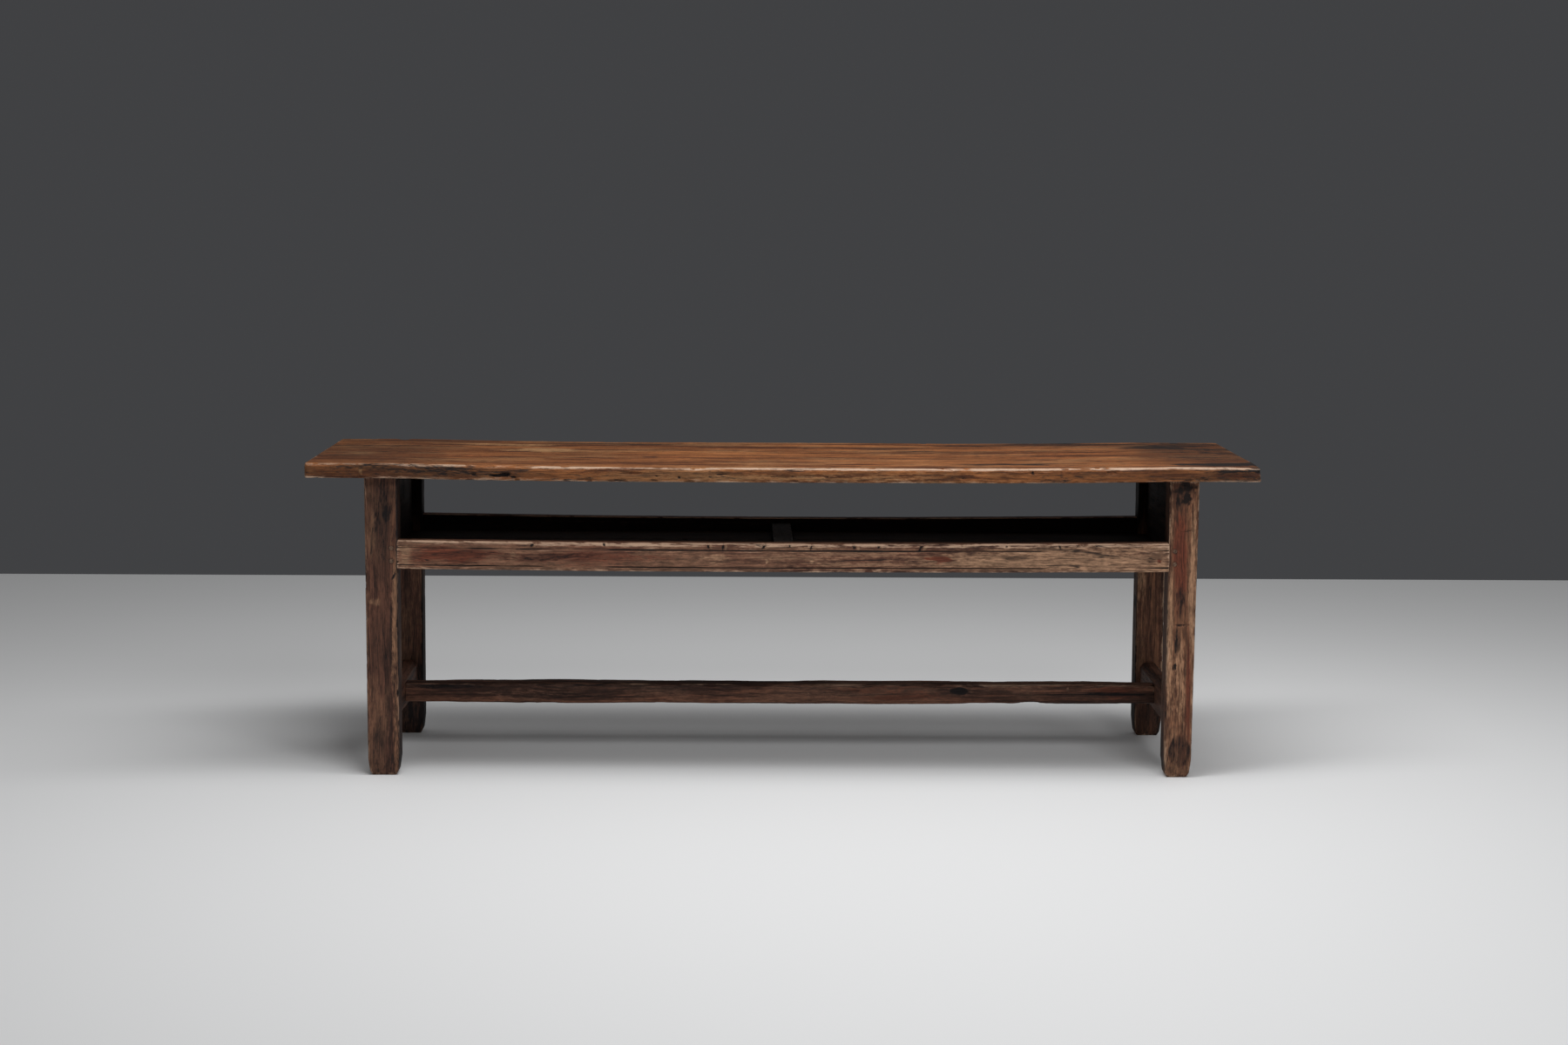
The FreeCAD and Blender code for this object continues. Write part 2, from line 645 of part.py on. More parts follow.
def make_shelf_board(side, place, name):
    """Loose-laid board from the end panel's cleat to the cross rail's ledge, notched round a leg."""
    sign = sides[side]["sign"]
    body = new_body(f"{side}_{name}_shelf_board")
    near, far = board_edges(place)
    outer = f"{sign} * ({panel_inner} - shelf_clearance)"
    leg = f"{inner_x(side)} - {sign} * shelf_clearance"
    inner = f"cross_rail_offset + {sign} * (cross_rail_width / 2 + shelf_clearance)"
    plan = new_sketch(body, "plan", "XY_Plane", "floor_to_shelf + board_thickness / 2")
    if name == "middle":
        draw_box(plan, (outer, inner), (near, far))
    else:
        edge, other = (near, far) if name == "front" else (far, near)
        notch = f"{rows[name]} * ({inner_leg_y} - shelf_clearance)"
        draw(plan, [(leg, edge), (inner, edge), (inner, other), (outer, other), (outer, notch), (leg, notch)])
    extrude(body, "Pad", plan, "board_thickness")
    top = number(shelf_top)
    soften(body, "Chamfer",
           lambda edge: runs_along(edge, 0) and abs(edge.CenterOfMass.z - top) < number("board_arris")
           and edge.Length > number(f"{panel_inner} / 2"), "board_arris")


def make_cleat(side):
    """Batten under the boards' outer ends, against the panel between the legs."""
    sign = sides[side]["sign"]
    body = new_body(f"{side}_shelf_cleat")
    section = new_sketch(body, "section", "XZ_Plane", "0")
    draw_box(section, (f"{sign} * ({panel_inner} - cleat_width)", f"{sign} * {panel_inner}"),
             ("floor_to_shelf - cleat_height", "floor_to_shelf"))
    extrude(body, "Pad", section, f"2 * ({inner_leg_y} - shelf_clearance)")


def make_end_stretcher(side):
    """Heavy chamfered bar between the legs of one end, mortised through for the centre stretcher."""
    s = sides[side]
    body = new_body(f"{side}_end_stretcher")
    section = new_sketch(body, "section", "XZ_Plane", "0")
    xs = (f"{s['sign']} * {end_stretcher_inner}", f"{s['sign']} * {end_stretcher_outer}")
    draw_box(section, xs, ("floor_to_end_stretcher", end_stretcher_top))
    extrude(body, "Pad", section, f"2 * {inner_leg_y}")
    inner = number(f"{end_stretcher_inner} + end_stretcher_thickness / 4")
    outer = number(f"{end_stretcher_outer} - end_stretcher_thickness / 4")
    soften(body, "Chamfer", lambda edge: runs_along(edge, 1) and abs(edge.CenterOfMass.x) < inner,
           "end_stretcher_chamfer")
    soften(body, "Fillet", lambda edge: runs_along(edge, 1) and abs(edge.CenterOfMass.x) > outer,
           "end_stretcher_round")
    middle = f"{s['sign']} * {end_stretcher_middle}"
    for row, sign in rows.items():
        tenon = new_sketch(body, f"{row}_tenon", "YZ_Plane", middle)
        draw_box(tenon, (f"{sign} * {inner_leg_y}", f"{sign} * ({inner_leg_y} + end_tenon_length)"),
                 ("floor_to_end_stretcher + end_tenon_shoulder", f"{end_stretcher_top} - end_tenon_shoulder"))
        extrude(body, "Pad", tenon, "end_tenon_thickness")
    mortise = new_sketch(body, "centre_mortise", "YZ_Plane", middle)
    half_y = "(centre_tenon_width / 2 + joint_clearance)"
    half_z = "(centre_tenon_height / 2 + joint_clearance)"
    draw_box(mortise, (f"-{half_y}", half_y),
             (f"{centre_stretcher_middle} - {half_z}", f"{centre_stretcher_middle} + {half_z}"))
    extrude(body, "Pocket", mortise, "end_stretcher_thickness + 2 * overrun")
    for row in rows:
        bore_pegs(body, stretcher_pegs(side, row))
    bore_pegs(body, centre_pegs(side))


def make_centre_stretcher():
    """Long rough-hewn bar whose section swells and shrinks, with a through tenon at each end."""
    body = new_body("centre_stretcher")
    sections = []
    stations = zip(hewn_place_shares, hewn_lower_shares, hewn_upper_shares, hewn_front_shares)
    for i, (place, lower, upper, front) in enumerate(stations):
        section = new_sketch(body, f"station_{i + 1}", "YZ_Plane", f"{place} * {end_stretcher_inner}")
        low = f"(floor_to_centre_stretcher + {lower} * centre_stretcher_height)"
        high = f"(floor_to_centre_stretcher + {upper} * centre_stretcher_height)"
        near = f"(-{front} * centre_stretcher_depth / 2)"
        far = "(centre_stretcher_depth / 2)"
        cut = "centre_stretcher_chamfer"
        draw(section, [
            (f"{near} + {cut}", low), (f"{far} - {cut}", low),
            (far, f"{low} + {cut}"), (far, f"{high} - {cut}"),
            (f"{far} - {cut}", high), (f"{near} + {cut}", high),
            (near, f"{high} - {cut}"), (near, f"{low} + {cut}"),
        ])
        sections.append(section)
    loft(body, "bar", sections)
    for side in sides:
        sign = sides[side]["sign"]
        tenon = new_sketch(body, f"{side}_tenon", "XZ_Plane", "0")
        draw_box(tenon,
                 (f"{sign} * {end_stretcher_inner}", f"{sign} * {end_stretcher_outer}"),
                 (f"{centre_stretcher_middle} - centre_tenon_height / 2",
                  f"{centre_stretcher_middle} + centre_tenon_height / 2"))
        extrude(body, "Pad", tenon, "centre_tenon_width")
        bore_pegs(body, centre_pegs(side))


make_table_top()
for side in sides:
    for row in rows:
        make_leg(side, row)
    make_end_panel(side)
    make_cleat(side)
    make_end_stretcher(side)
    for place, name in enumerate(("front", "middle", "rear")):
        make_shelf_board(side, place, name)
    make_pegs(f"{side}_panel_pegs", [panel_pegs(side, row) for row in rows])
    make_pegs(f"{side}_stretcher_pegs", [stretcher_pegs(side, row) for row in rows])
for row in rows:
    make_rail(row)
    make_pegs(f"{row}_rail_pegs", [rail_pegs(side, row) for side in sides])
make_cross_rail()
make_centre_stretcher()
make_pegs("centre_stretcher_pegs", [centre_pegs(side) for side in sides])
doc.recompute()

# Nothing is written unless every object is sound
nodes = [o for o in doc.Objects if o.TypeId in ("PartDesign::Body", "Part::Compound")]
faulty = [o.Label for o in doc.Objects if {"Invalid", "Error"} & set(o.State)]
faulty += [o.Label for o in nodes if o.Shape.isNull() or not o.Shape.isValid()]
if faulty:
    raise RuntimeError(f"unsound objects: {faulty}")
for node in nodes:
    node.Shape.exportStep(f"parts/{node.Label}.step")
    box = node.Shape.BoundBox
    print(f"{node.Label}: {len(node.Shape.Solids)} solid(s), {node.Shape.Volume / 1000:.1f} cm3, "
          f"{box.XLength:.1f} x {box.YLength:.1f} x {box.ZLength:.1f} mm")
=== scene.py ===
import math

import bmesh
import bpy
import numpy as np
from mathutils import Matrix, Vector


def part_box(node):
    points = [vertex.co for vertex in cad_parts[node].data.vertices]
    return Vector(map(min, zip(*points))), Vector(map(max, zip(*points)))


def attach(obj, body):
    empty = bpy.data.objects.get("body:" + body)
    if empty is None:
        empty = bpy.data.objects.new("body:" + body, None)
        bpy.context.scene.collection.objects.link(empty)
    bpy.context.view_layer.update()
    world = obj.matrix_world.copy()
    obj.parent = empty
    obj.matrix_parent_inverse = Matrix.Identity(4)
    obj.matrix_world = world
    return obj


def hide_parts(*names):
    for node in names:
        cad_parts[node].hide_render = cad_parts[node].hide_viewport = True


# Old farmhouse work table. Metres, +X along its length, -Y the moulded front, +Z up.
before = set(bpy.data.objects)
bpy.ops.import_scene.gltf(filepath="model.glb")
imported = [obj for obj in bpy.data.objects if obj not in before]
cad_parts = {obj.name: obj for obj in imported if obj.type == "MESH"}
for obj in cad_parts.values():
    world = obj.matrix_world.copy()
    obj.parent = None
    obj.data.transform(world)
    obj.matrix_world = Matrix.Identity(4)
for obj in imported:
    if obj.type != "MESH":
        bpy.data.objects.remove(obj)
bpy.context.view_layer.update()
print("frame loaded with", len(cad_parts), "nodes")


# Noise that wears, waves and stains the timber

scramble = dict(x=374761393, y=668265263, z=974634777, seed=1103515245, again=1274126177)


def latticeValue(x, y, z, seed):
    # whole lattice places scrambled by products and shifts, spread evenly from -1 to 1
    total = x * scramble["x"] + y * scramble["y"] + z * scramble["z"] + seed * scramble["seed"]
    bits = total & 0xffffffff
    bits = ((bits ^ (bits >> 13)) * scramble["again"]) & 0xffffffff
    return ((bits ^ (bits >> 16)) & 0xffffff) / 0x7fffff - 1.0


def softNoise(points, cycles, seed):
    # lattice values of the eight corners, weighted by 6t^5 - 15t^4 + 10t^3 of each fraction t
    scaled = points * np.asarray(cycles, float)
    cell = np.floor(scaled).astype(np.int64)
    t = scaled - cell
    t = t ** 3 * (t * (t * 6 - 15) + 10)
    total = np.zeros(scaled.shape[:-1])
    for corner in np.ndindex(2, 2, 2):
        share = np.prod(np.where(np.array(corner, bool), t, 1 - t), axis=-1)
        x, y, z = (cell[..., i] + corner[i] for i in range(3))
        total += share * latticeValue(x, y, z, seed)
    return total


def roughNoise(points, cycles, seed, octaves=4):
    # the noise plus copies of itself, each twice as fine and half as strong
    total = 0.0
    for octave in range(octaves):
        finer = np.asarray(cycles, float) * 2 ** octave
        total = total + 0.5 ** octave * softNoise(points, finer, seed + octave)
    return total / (2 - 0.5 ** (octaves - 1))


def smoothRise(value, low, high):
    # 3t^2 - 2t^3, with t the share of the way from low to high
    t = np.clip((value - low) / (high - low), 0, 1)
    return t * t * (3 - 2 * t)


def alongGrain(axis, along, across):
    # cycles per metre on X, Y and Z for a pattern drawn out along one axis
    cycles = np.full(3, float(across))
    cycles[axis] = along
    return cycles


# Timbers as grids: stations along the length, a rounded section round it

timber = dict(edgeSteps=4, arrisCycles=(9, 1, 1), arrisSeed=40, roomShare=0.999, weld=2e-6)


def stationsOf(start, end, spacing, endRound, endRings):
    # quarter circles at both ends, even steps between, and rings that close over each end face
    turn = np.linspace(0, np.pi / 2, timber["edgeSteps"] + 1)
    edgeAt = endRound * (1 - np.cos(turn))
    edgeInset = endRound * (1 - np.sin(turn))
    steps = int(round((end - start - 2 * endRound) / spacing))
    middle = np.linspace(start + endRound, end - endRound, steps + 1)[1:-1]
    ring = np.linspace(1, 0, endRings, endpoint=False)
    still = np.zeros(endRings)
    level = np.zeros(len(middle))
    rise = turn - np.pi / 2
    place = np.concatenate([still + start, start + edgeAt, middle, end - edgeAt[::-1], still + end])
    inset = np.concatenate([still + endRound, edgeInset, level, edgeInset[::-1], still + endRound])
    face = np.concatenate([ring, 0 * turn, level, 0 * turn, ring[::-1]])
    lean = np.concatenate([still - np.pi / 2, rise, level, -rise[::-1], still + np.pi / 2])
    return place, inset, face, lean


def ringOf(low, high, radius, shares, arcSteps, flat):
    # rectangle low to high with four corner arcs; a flat corner goes straight between its arc's ends
    signs = np.array([(1, -1), (1, 1), (-1, 1), (-1, -1)])
    arcs, arcNormals = [], []
    for i, sign in enumerate(signs):
        angle = math.radians(90 * i - 90) + np.linspace(0, np.pi / 2, arcSteps + 1)
        normal = np.stack([np.cos(angle), np.sin(angle)], 1)
        centre = np.where(sign > 0, high, low) - sign * radius[:, i:i + 1]
        arc = centre[:, None] + radius[:, i][:, None, None] * normal
        way = np.linspace(0, 1, arcSteps + 1)[:, None]
        chord = arc[:, :1] * (1 - way) + arc[:, -1:] * way
        arcs.append(arc * (1 - flat[i]) + chord * flat[i])
        arcNormals.append(normal)
    ring, normals = [], []
    for i in range(4):
        share = shares[i % 2][:, None] if i < 2 else 1 - shares[i % 2][::-1][:, None]
        first, last = arcs[i][:, -1:], arcs[(i + 1) % 4][:, :1]
        ring += [arcs[i], first * (1 - share) + last * share]
        normals += [arcNormals[i], np.repeat(arcNormals[i][-1:], len(share), 0)]
    return np.concatenate(ring, 1), np.concatenate(normals, 0)


def evenShares(count):
    return np.linspace(0, 1, count + 2)[1:-1]


def timberGrid(axis, stations, limits, radius, steps, wander, seed, flat=(0, 0, 0, 0), arcSteps=5):
    # points, outward normals and closeness to an arris, as stations by ring places; the steps on
    # two neighbouring sides are counts or shares, and one radius or four go round the section
    place, inset, face, lean = stations
    shares = [evenShares(step) if np.isscalar(step) else step for step in steps]
    radius = np.broadcast_to(radius, 4)
    nominalLow, nominalHigh = limits(place)
    half = (nominalHigh - nominalLow).min(1) / 2
    shrink = (inset + face * (half - inset))[:, None]
    low, high = nominalLow + shrink, nominalHigh - shrink
    corner = np.stack([place, 0 * place, 0 * place], 1)
    worn = []
    for i in range(4):
        noise = roughNoise(corner + i, timber["arrisCycles"], seed + timber["arrisSeed"] + i)
        worn.append(radius[i] * (1 + wander * noise))
    room = (high - low).min(1)[:, None] / 2
    radii = np.clip(np.stack(worn, 1) - shrink, 0, room * timber["roomShare"])
    ring, normals = ringOf(low, high, radii, shares, arcSteps, flat)
    others = [i for i in range(3) if i != axis]
    points = np.empty(ring.shape[:2] + (3,))
    points[..., axis] = place[:, None]
    points[..., others] = ring
    outward = np.empty_like(points)
    outward[..., axis] = np.sin(lean)[:, None]
    outward[..., others] = np.cos(lean)[:, None, None] * normals[None]
    near = np.minimum(ring - nominalLow[:, None], nominalHigh[:, None] - ring)
    ends = np.minimum(place - place[0], place[-1] - place)[:, None] + 0 * ring[..., 0]
    edge = np.sort(np.concatenate([near, ends[..., None]], -1), -1)[..., 1]
    return points, outward, edge


# Single marks: reach in half sizes, and the ragged rim's noise, which differs from mark to mark
marking = dict(reach=2.2, rimCycles=1.3, rimOctaves=3, ragged=0.35, sharp=1.6, seed=900, seedStep=7,
               deep=0.012, upperTall=0.02)


# What a mark's row goes on with after its place and its half sizes along X, Y and Z
markColumns = ("depth", "stain", "pale", "red", "ragged", "slant", "sharp")


def faceMark(x, y, z, wide, deep, tall, *row, **more):
    return dict(zip(markColumns, row), at=(x, y, z), size=(wide, deep, tall), **more)


def applyMarks(points, marks):
    # each mark is a soft ellipsoid with a ragged rim; it presses in and adds to the named masks
    depth = np.zeros(points.shape[:2])
    masks = {name: np.zeros(points.shape[:2]) for name in ("stain", "pale", "red")}
    for number, mark in enumerate(marks):
        size = np.asarray(mark["size"], float)
        away = points - np.asarray(mark["at"], float)
        slant = math.radians(mark.get("slant", 0))              # turned about Y, seen from the front
        turned = away.copy()
        turned[..., 0] = away[..., 0] * math.cos(slant) + away[..., 2] * math.sin(slant)
        turned[..., 2] = away[..., 2] * math.cos(slant) - away[..., 0] * math.sin(slant)
        turned /= size
        near = np.abs(turned).max(-1) < marking["reach"]
        if not near.any():
            continue
        spot = turned[near]
        seed = marking["seed"] + marking["seedStep"] * number
        for i in range(3):
            rim = roughNoise(points[near], marking["rimCycles"] / size, seed + i, marking["rimOctaves"])
            spot[:, i] += mark.get("ragged", marking["ragged"]) * rim
        fade = np.exp(-(spot ** 2).sum(1) ** mark.get("sharp", marking["sharp"]))
        depth[near] += mark.get("depth", 0) * fade
        for name, mask in masks.items():
            mask[near] = np.maximum(mask[near], mark.get(name, 0) * fade)
    return depth, masks


# Wear, painted highlights and painted shade that all timbers share; cycles are per metre along and across the
# grain
ageing = dict(
    arrisPower=1.6, chipRange=(0.18, 0.5), chipDark=0.55, chipBare=0.7, rubCycles=(14, 90), rubShare=0.55,
    # the front arris is rubbed and given a painted highlight where it faces this way, and a level face stays
    # below the range
    rubbedAndLitWay=(0, -0.6, 0.8), rubbedAndLitRange=(0.81, 0.94), rubbedAndLitClean=0.55, crestBase=0.75, crestRub=0.8,
    patchCycles=(6, 20), patchRange=(-0.3, 0.3), patchBase=0.55, patchGain=0.9,
    handledRange=(-0.9, -0.2),                                  # the left end was handled less and gets less painted highlight
    shelterRange=(0.006, 0.002),                                # distance from a sheltered face that takes painted shade
)


def ageTimber(points, outward, edge, axis, look, marks, seed):
    # low waves, raised fibres, chipped arrises and single marks, all pressed inwards
    def noise(cycles, seedShift, octaves=4):
        return roughNoise(points, alongGrain(axis, *cycles), seed + seedShift, octaves)

    wave = 0.5 + 0.5 * noise(look["waveCycles"], 0, 3)
    fibre = 0.5 + 0.5 * noise(look["fibreCycles"], 10, 3)
    arris = np.exp(-(edge / look["arrisReach"]) ** ageing["arrisPower"])
    chip = smoothRise(noise(look["chipCycles"], 20), *ageing["chipRange"])
    depth, masks = applyMarks(points, marks)
    depth += look["waveDepth"] * wave + look["fibreDepth"] * fibre + look["chipDepth"] * arris * chip
    rub = noise(ageing["rubCycles"], 30)
    # faces turned up and to the front get rubbed wear and a painted highlight, and lose some stain
    upward = smoothRise(outward @ np.array(ageing["rubbedAndLitWay"]), *ageing["rubbedAndLitRange"])
    masks["stain"] *= 1 - ageing["rubbedAndLitClean"] * upward
    crest = upward * look["crest"] * (ageing["crestBase"] + ageing["crestRub"] * rub)
    patch = smoothRise(noise(ageing["patchCycles"], 35, 3), *ageing["patchRange"])
    crest *= ageing["patchBase"] + ageing["patchGain"] * patch
    handled = smoothRise(points[..., 0], *ageing["handledRange"])
    crest *= look["crestFrom"] + (1 - look["crestFrom"]) * handled
    worn = arris * (look["worn"] + ageing["rubShare"] * rub) + crest - ageing["chipBare"] * chip * arris
    masks["worn"] = np.clip(worn, 0, 1)
    chipped = ageing["chipDark"] * chip * arris * look["chipStain"]
    masks["stain"] = np.clip(masks["stain"] + chipped, 0, 1)
    return points - outward * depth[..., None], masks


def shadeSheltered(points, masks, face, strength):
    # painted shade: darkens the side that lies at this X, which the light hardly reaches
    sheltered = smoothRise(np.abs(points[..., 0] - face), *ageing["shelterRange"])
    masks["stain"] = np.clip(masks["stain"] + strength * sheltered, 0, 1)


def meshFromGrids(name, grids):
    # each grid is stations by ring places, closed round the ring; rows that meet at a face are merged
    vertices, quads, start = [], [], 0
    for points, masks in grids:
        rows, columns = points.shape[:2]
        index = start + np.arange(rows * columns).reshape(rows, columns)
        beside = np.roll(index, -1, axis=1)
        quads.append(np.stack([index[:-1], beside[:-1], beside[1:], index[1:]], -1).reshape(-1, 4))
        vertices.append(points.reshape(-1, 3))
        start += rows * columns
    mesh = bpy.data.meshes.new(name)
    mesh.from_pydata(np.concatenate(vertices).tolist(), [], np.concatenate(quads).tolist())
    for mask in grids[0][1]:
        values = np.concatenate([masks[mask].ravel() for points, masks in grids])
        layer = mesh.attributes.new(mask, "FLOAT", "POINT")
        layer.data.foreach_set("value", values.astype(np.float32))
    build = bmesh.new()
    build.from_mesh(mesh)
    bmesh.ops.remove_doubles(build, verts=build.verts, dist=timber["weld"])
    bmesh.ops.recalc_face_normals(build, faces=build.faces)
    build.to_mesh(mesh)
    build.free()
    mesh.polygons.foreach_set("use_smooth", np.ones(len(mesh.polygons), bool))
    piece = bpy.data.objects.new(name, mesh)
    bpy.context.scene.collection.objects.link(piece)
    return piece


def dress(piece, nodes, material):
    piece.data.materials.append(material)
    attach(piece, "root")
    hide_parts(*nodes)
    print("made", piece.name, len(piece.data.polygons), "faces")


def agedGrid(axis, stations, limits, radius, steps, look, marks=(), seed=0, **section):
    grid = timberGrid(axis, stations, limits, radius, steps, look["arrisWander"], seed, **section)
    return ageTimber(*grid, axis, look, marks, seed)


def fixedLimits(low, high):
    def limits(place):
        return [np.tile(np.asarray(corner, float), (len(place), 1)) for corner in (low, high)]
    return limits


# Shader nodes

def addNode(tree, kind, inputs=None, **settings):
    made = tree.nodes.new("ShaderNode" + kind)
    for name, value in settings.items():
        setattr(made, name, value)
    for name, value in (inputs or {}).items():
        if isinstance(value, bpy.types.NodeSocket):
            tree.links.new(value, made.inputs[name])
        else:
            made.inputs[name].default_value = value
    return made


def maths(tree, operation, first, second=0.0):
    return addNode(tree, "Math", {0: first, 1: second}, operation=operation).outputs[0]


def plus(tree, base, value, share):
    # the base plus a share of the value
    return addNode(tree, "Math", {0: value, 1: share, 2: base}, operation="MULTIPLY_ADD").outputs[0]


def vectorMaths(tree, operation, first, second):
    return addNode(tree, "VectorMath", {0: first, 1: second}, operation=operation).outputs[0]


def spread(tree, value, low, high, start=0.0, end=1.0):
    ends = {"Value": value, "From Min": low, "From Max": high, "To Min": start, "To Max": end}
    return addNode(tree, "MapRange", ends, interpolation_type="SMOOTHSTEP").outputs["Result"]


def mixed(tree, factor, first, second):
    return addNode(tree, "Mix", {0: factor, 6: first, 7: second}, data_type="RGBA").outputs[2]


def noiseOf(tree, vector, along, across, detail, roughness):
    place = vectorMaths(tree, "MULTIPLY", vector, (along, across, across))
    inputs = {"Vector": place, "Scale": 1.0, "Detail": detail, "Roughness": roughness}
    return addNode(tree, "TexNoise", inputs).outputs


def newGroup(name, inputs, outputs):
    tree = bpy.data.node_groups.new(name, "ShaderNodeTree")
    for way, sockets in (("INPUT", inputs), ("OUTPUT", outputs)):
        for label, kind in sockets.items():
            tree.interface.new_socket(label, in_out=way, socket_type="NodeSocket" + kind)
    return tree, tree.nodes.new("NodeGroupInput").outputs, tree.nodes.new("NodeGroupOutput").inputs


shadeNames = ("Deep", "Body", "Tan", "Red", "RubbedAndLit", "Dark")
fieldNames = ("Streak", "Fibre", "Grit", "Pore", "Crack", "Blotch")
maskNames = ("worn", "stain", "pale", "red")
grain = dict(
    # cycles per metre along and across the grain, detail and roughness
    drift=(1.6, 6, 2, 0.5), broad=(1.1, 17, 5, 0.6), narrow=(2.0, 70, 6, 0.72), fibre=(11, 300, 4, 0.7),
    grit=(45, 190, 3, 0.7), pore=(45, 900, 2, 0.55), line=(1.4, 30, 3, 0.55), gate=(4, 14, 2, 0.55),
    blotch=(3.5, 9, 6, 0.65), bend=(0, 0.05, 0.05),
    poreRange=(0.6, 0.7), lineRange=(0.011, 0.002), gateRange=(0.5, 0.62),
    relief=dict(rough=0.6, crack=-0.9, pore=-0.25, streak=0.5),
)


def makeGrainGroup():
    # grain runs along X: streaks, fibres, grit, pores, hairline cracks and cloudy blotches
    names = (*fieldNames, "Height")
    tree, given, out = newGroup("oldGrain", {"Vector": "Vector"}, dict.fromkeys(names, "Float"))
    drift = noiseOf(tree, given["Vector"], *grain["drift"])["Color"]
    centred = vectorMaths(tree, "SUBTRACT", drift, (0.5, 0.5, 0.5))
    bend = vectorMaths(tree, "MULTIPLY", centred, grain["bend"])
    vector = vectorMaths(tree, "ADD", given["Vector"], bend)

    def pattern(name):
        return noiseOf(tree, vector, *grain[name])["Fac"]

    streak = maths(tree, "MULTIPLY", maths(tree, "ADD", pattern("broad"), pattern("narrow")), 0.5)
    fibre = pattern("fibre")
    grit = pattern("grit")
    pore = spread(tree, pattern("pore"), *grain["poreRange"])
    line = maths(tree, "ABSOLUTE", maths(tree, "SUBTRACT", pattern("line"), 0.5))
    gate = spread(tree, pattern("gate"), *grain["gateRange"])
    crack = maths(tree, "MULTIPLY", spread(tree, line, *grain["lineRange"]), gate)
    blotch = noiseOf(tree, given["Vector"], *grain["blotch"])["Fac"]
    height = maths(tree, "MULTIPLY", maths(tree, "ADD", fibre, grit), grain["relief"]["rough"])
    for value, name in ((crack, "crack"), (pore, "pore"), (streak, "streak")):
        height = plus(tree, height, value, grain["relief"][name])
    for name, value in zip(names, (streak, fibre, grit, pore, crack, blotch, height)):
        tree.links.new(value, out[name])
    return tree


# Ranges over which each layer of colour comes up; a shade's range ends with its darkest and palest share
tint = dict(
    gritShare=0.4, bodyRange=(-0.06, 0.06), cloudRange=(0.48, 0.62), paleUneven=2.2, paleRange=(0.14, 0.68),
    redUneven=2.0, redRange=(0.14, 0.65),
    fibreShade=(0.36, 0.64, 0.62, 1.3), gritShade=(0.34, 0.66, 0.68, 1.28),
    rubFibre=1.3, rubGrit=1.0, rubRange=(0.3, 0.85), darkUneven=2.6, darkRange=(0.15, 0.64),
    poreDark=0.45, gapDark=0.85, roughness=(0.3, 0.7, 0.62, 0.74), rubShine=-0.16, darkDull=0.1,
)


def makeTintGroup():
    # wood colours laid over each other: streaks, blotches, red and tan patches, rubbed edges with painted
    # highlights, stains with painted shade
    fields = (*fieldNames, *maskNames, "Blotching")
    inputs = {**dict.fromkeys(shadeNames, "Color"), **dict.fromkeys(fields, "Float")}
    tree, given, out = newGroup("oldWoodTint", inputs, {"Color": "Color", "Roughness": "Float"})
    names = ("Streak", "Grit", "Fibre")
    waver, flicker, thread = (maths(tree, "SUBTRACT", given[name], 0.5) for name in names)
    uneven = plus(tree, waver, flicker, tint["gritShare"])
    colour = mixed(tree, spread(tree, waver, *tint["bodyRange"]), given["Deep"], given["Body"])
    cloud = maths(tree, "MULTIPLY", spread(tree, given["Blotch"], *tint["cloudRange"]), given["Blotching"])
    ragged = spread(tree, plus(tree, given["pale"], uneven, tint["paleUneven"]), *tint["paleRange"])
    colour = mixed(tree, maths(tree, "MAXIMUM", ragged, cloud), colour, given["Tan"])
    blush = spread(tree, plus(tree, given["red"], uneven, tint["redUneven"]), *tint["redRange"])
    colour = mixed(tree, blush, colour, given["Red"])
    for field, shading in (("Fibre", tint["fibreShade"]), ("Grit", tint["gritShade"])):
        shade = spread(tree, given[field], *shading)
        colour = addNode(tree, "VectorMath", {0: colour, "Scale": shade}, operation="SCALE").outputs[0]
    # the worn mask also carries painted highlights, laid on in the pale rubbed colour
    rub = plus(tree, plus(tree, given["worn"], thread, tint["rubFibre"]), flicker, tint["rubGrit"])
    rubbedAndLit = spread(tree, rub, *tint["rubRange"])
    colour = mixed(tree, rubbedAndLit, colour, given["RubbedAndLit"])
    # the stain mask also carries painted shade, laid on in the dark colour
    stainedAndShaded = spread(tree, plus(tree, given["stain"], uneven, tint["darkUneven"]), *tint["darkRange"])
    colour = mixed(tree, stainedAndShaded, colour, given["Dark"])
    gaps = maths(tree, "MAXIMUM", given["Crack"], maths(tree, "MULTIPLY", given["Pore"], tint["poreDark"]))
    colour = mixed(tree, maths(tree, "MULTIPLY", gaps, tint["gapDark"]), colour, given["Dark"])
    rough = plus(tree, spread(tree, given["Fibre"], *tint["roughness"]), rubbedAndLit, tint["rubShine"])
    tree.links.new(colour, out["Color"])
    tree.links.new(plus(tree, rough, stainedAndShaded, tint["darkDull"]), out["Roughness"])
    return tree


grainGroup = makeGrainGroup()
tintGroup = makeTintGroup()
finish = dict(specular=0.22, bump=0.9)
grainTurns = {0: (0, 0, 0), 1: (0, 0, -90), 2: (0, 90, 0)}     # brings the timber's axis onto X


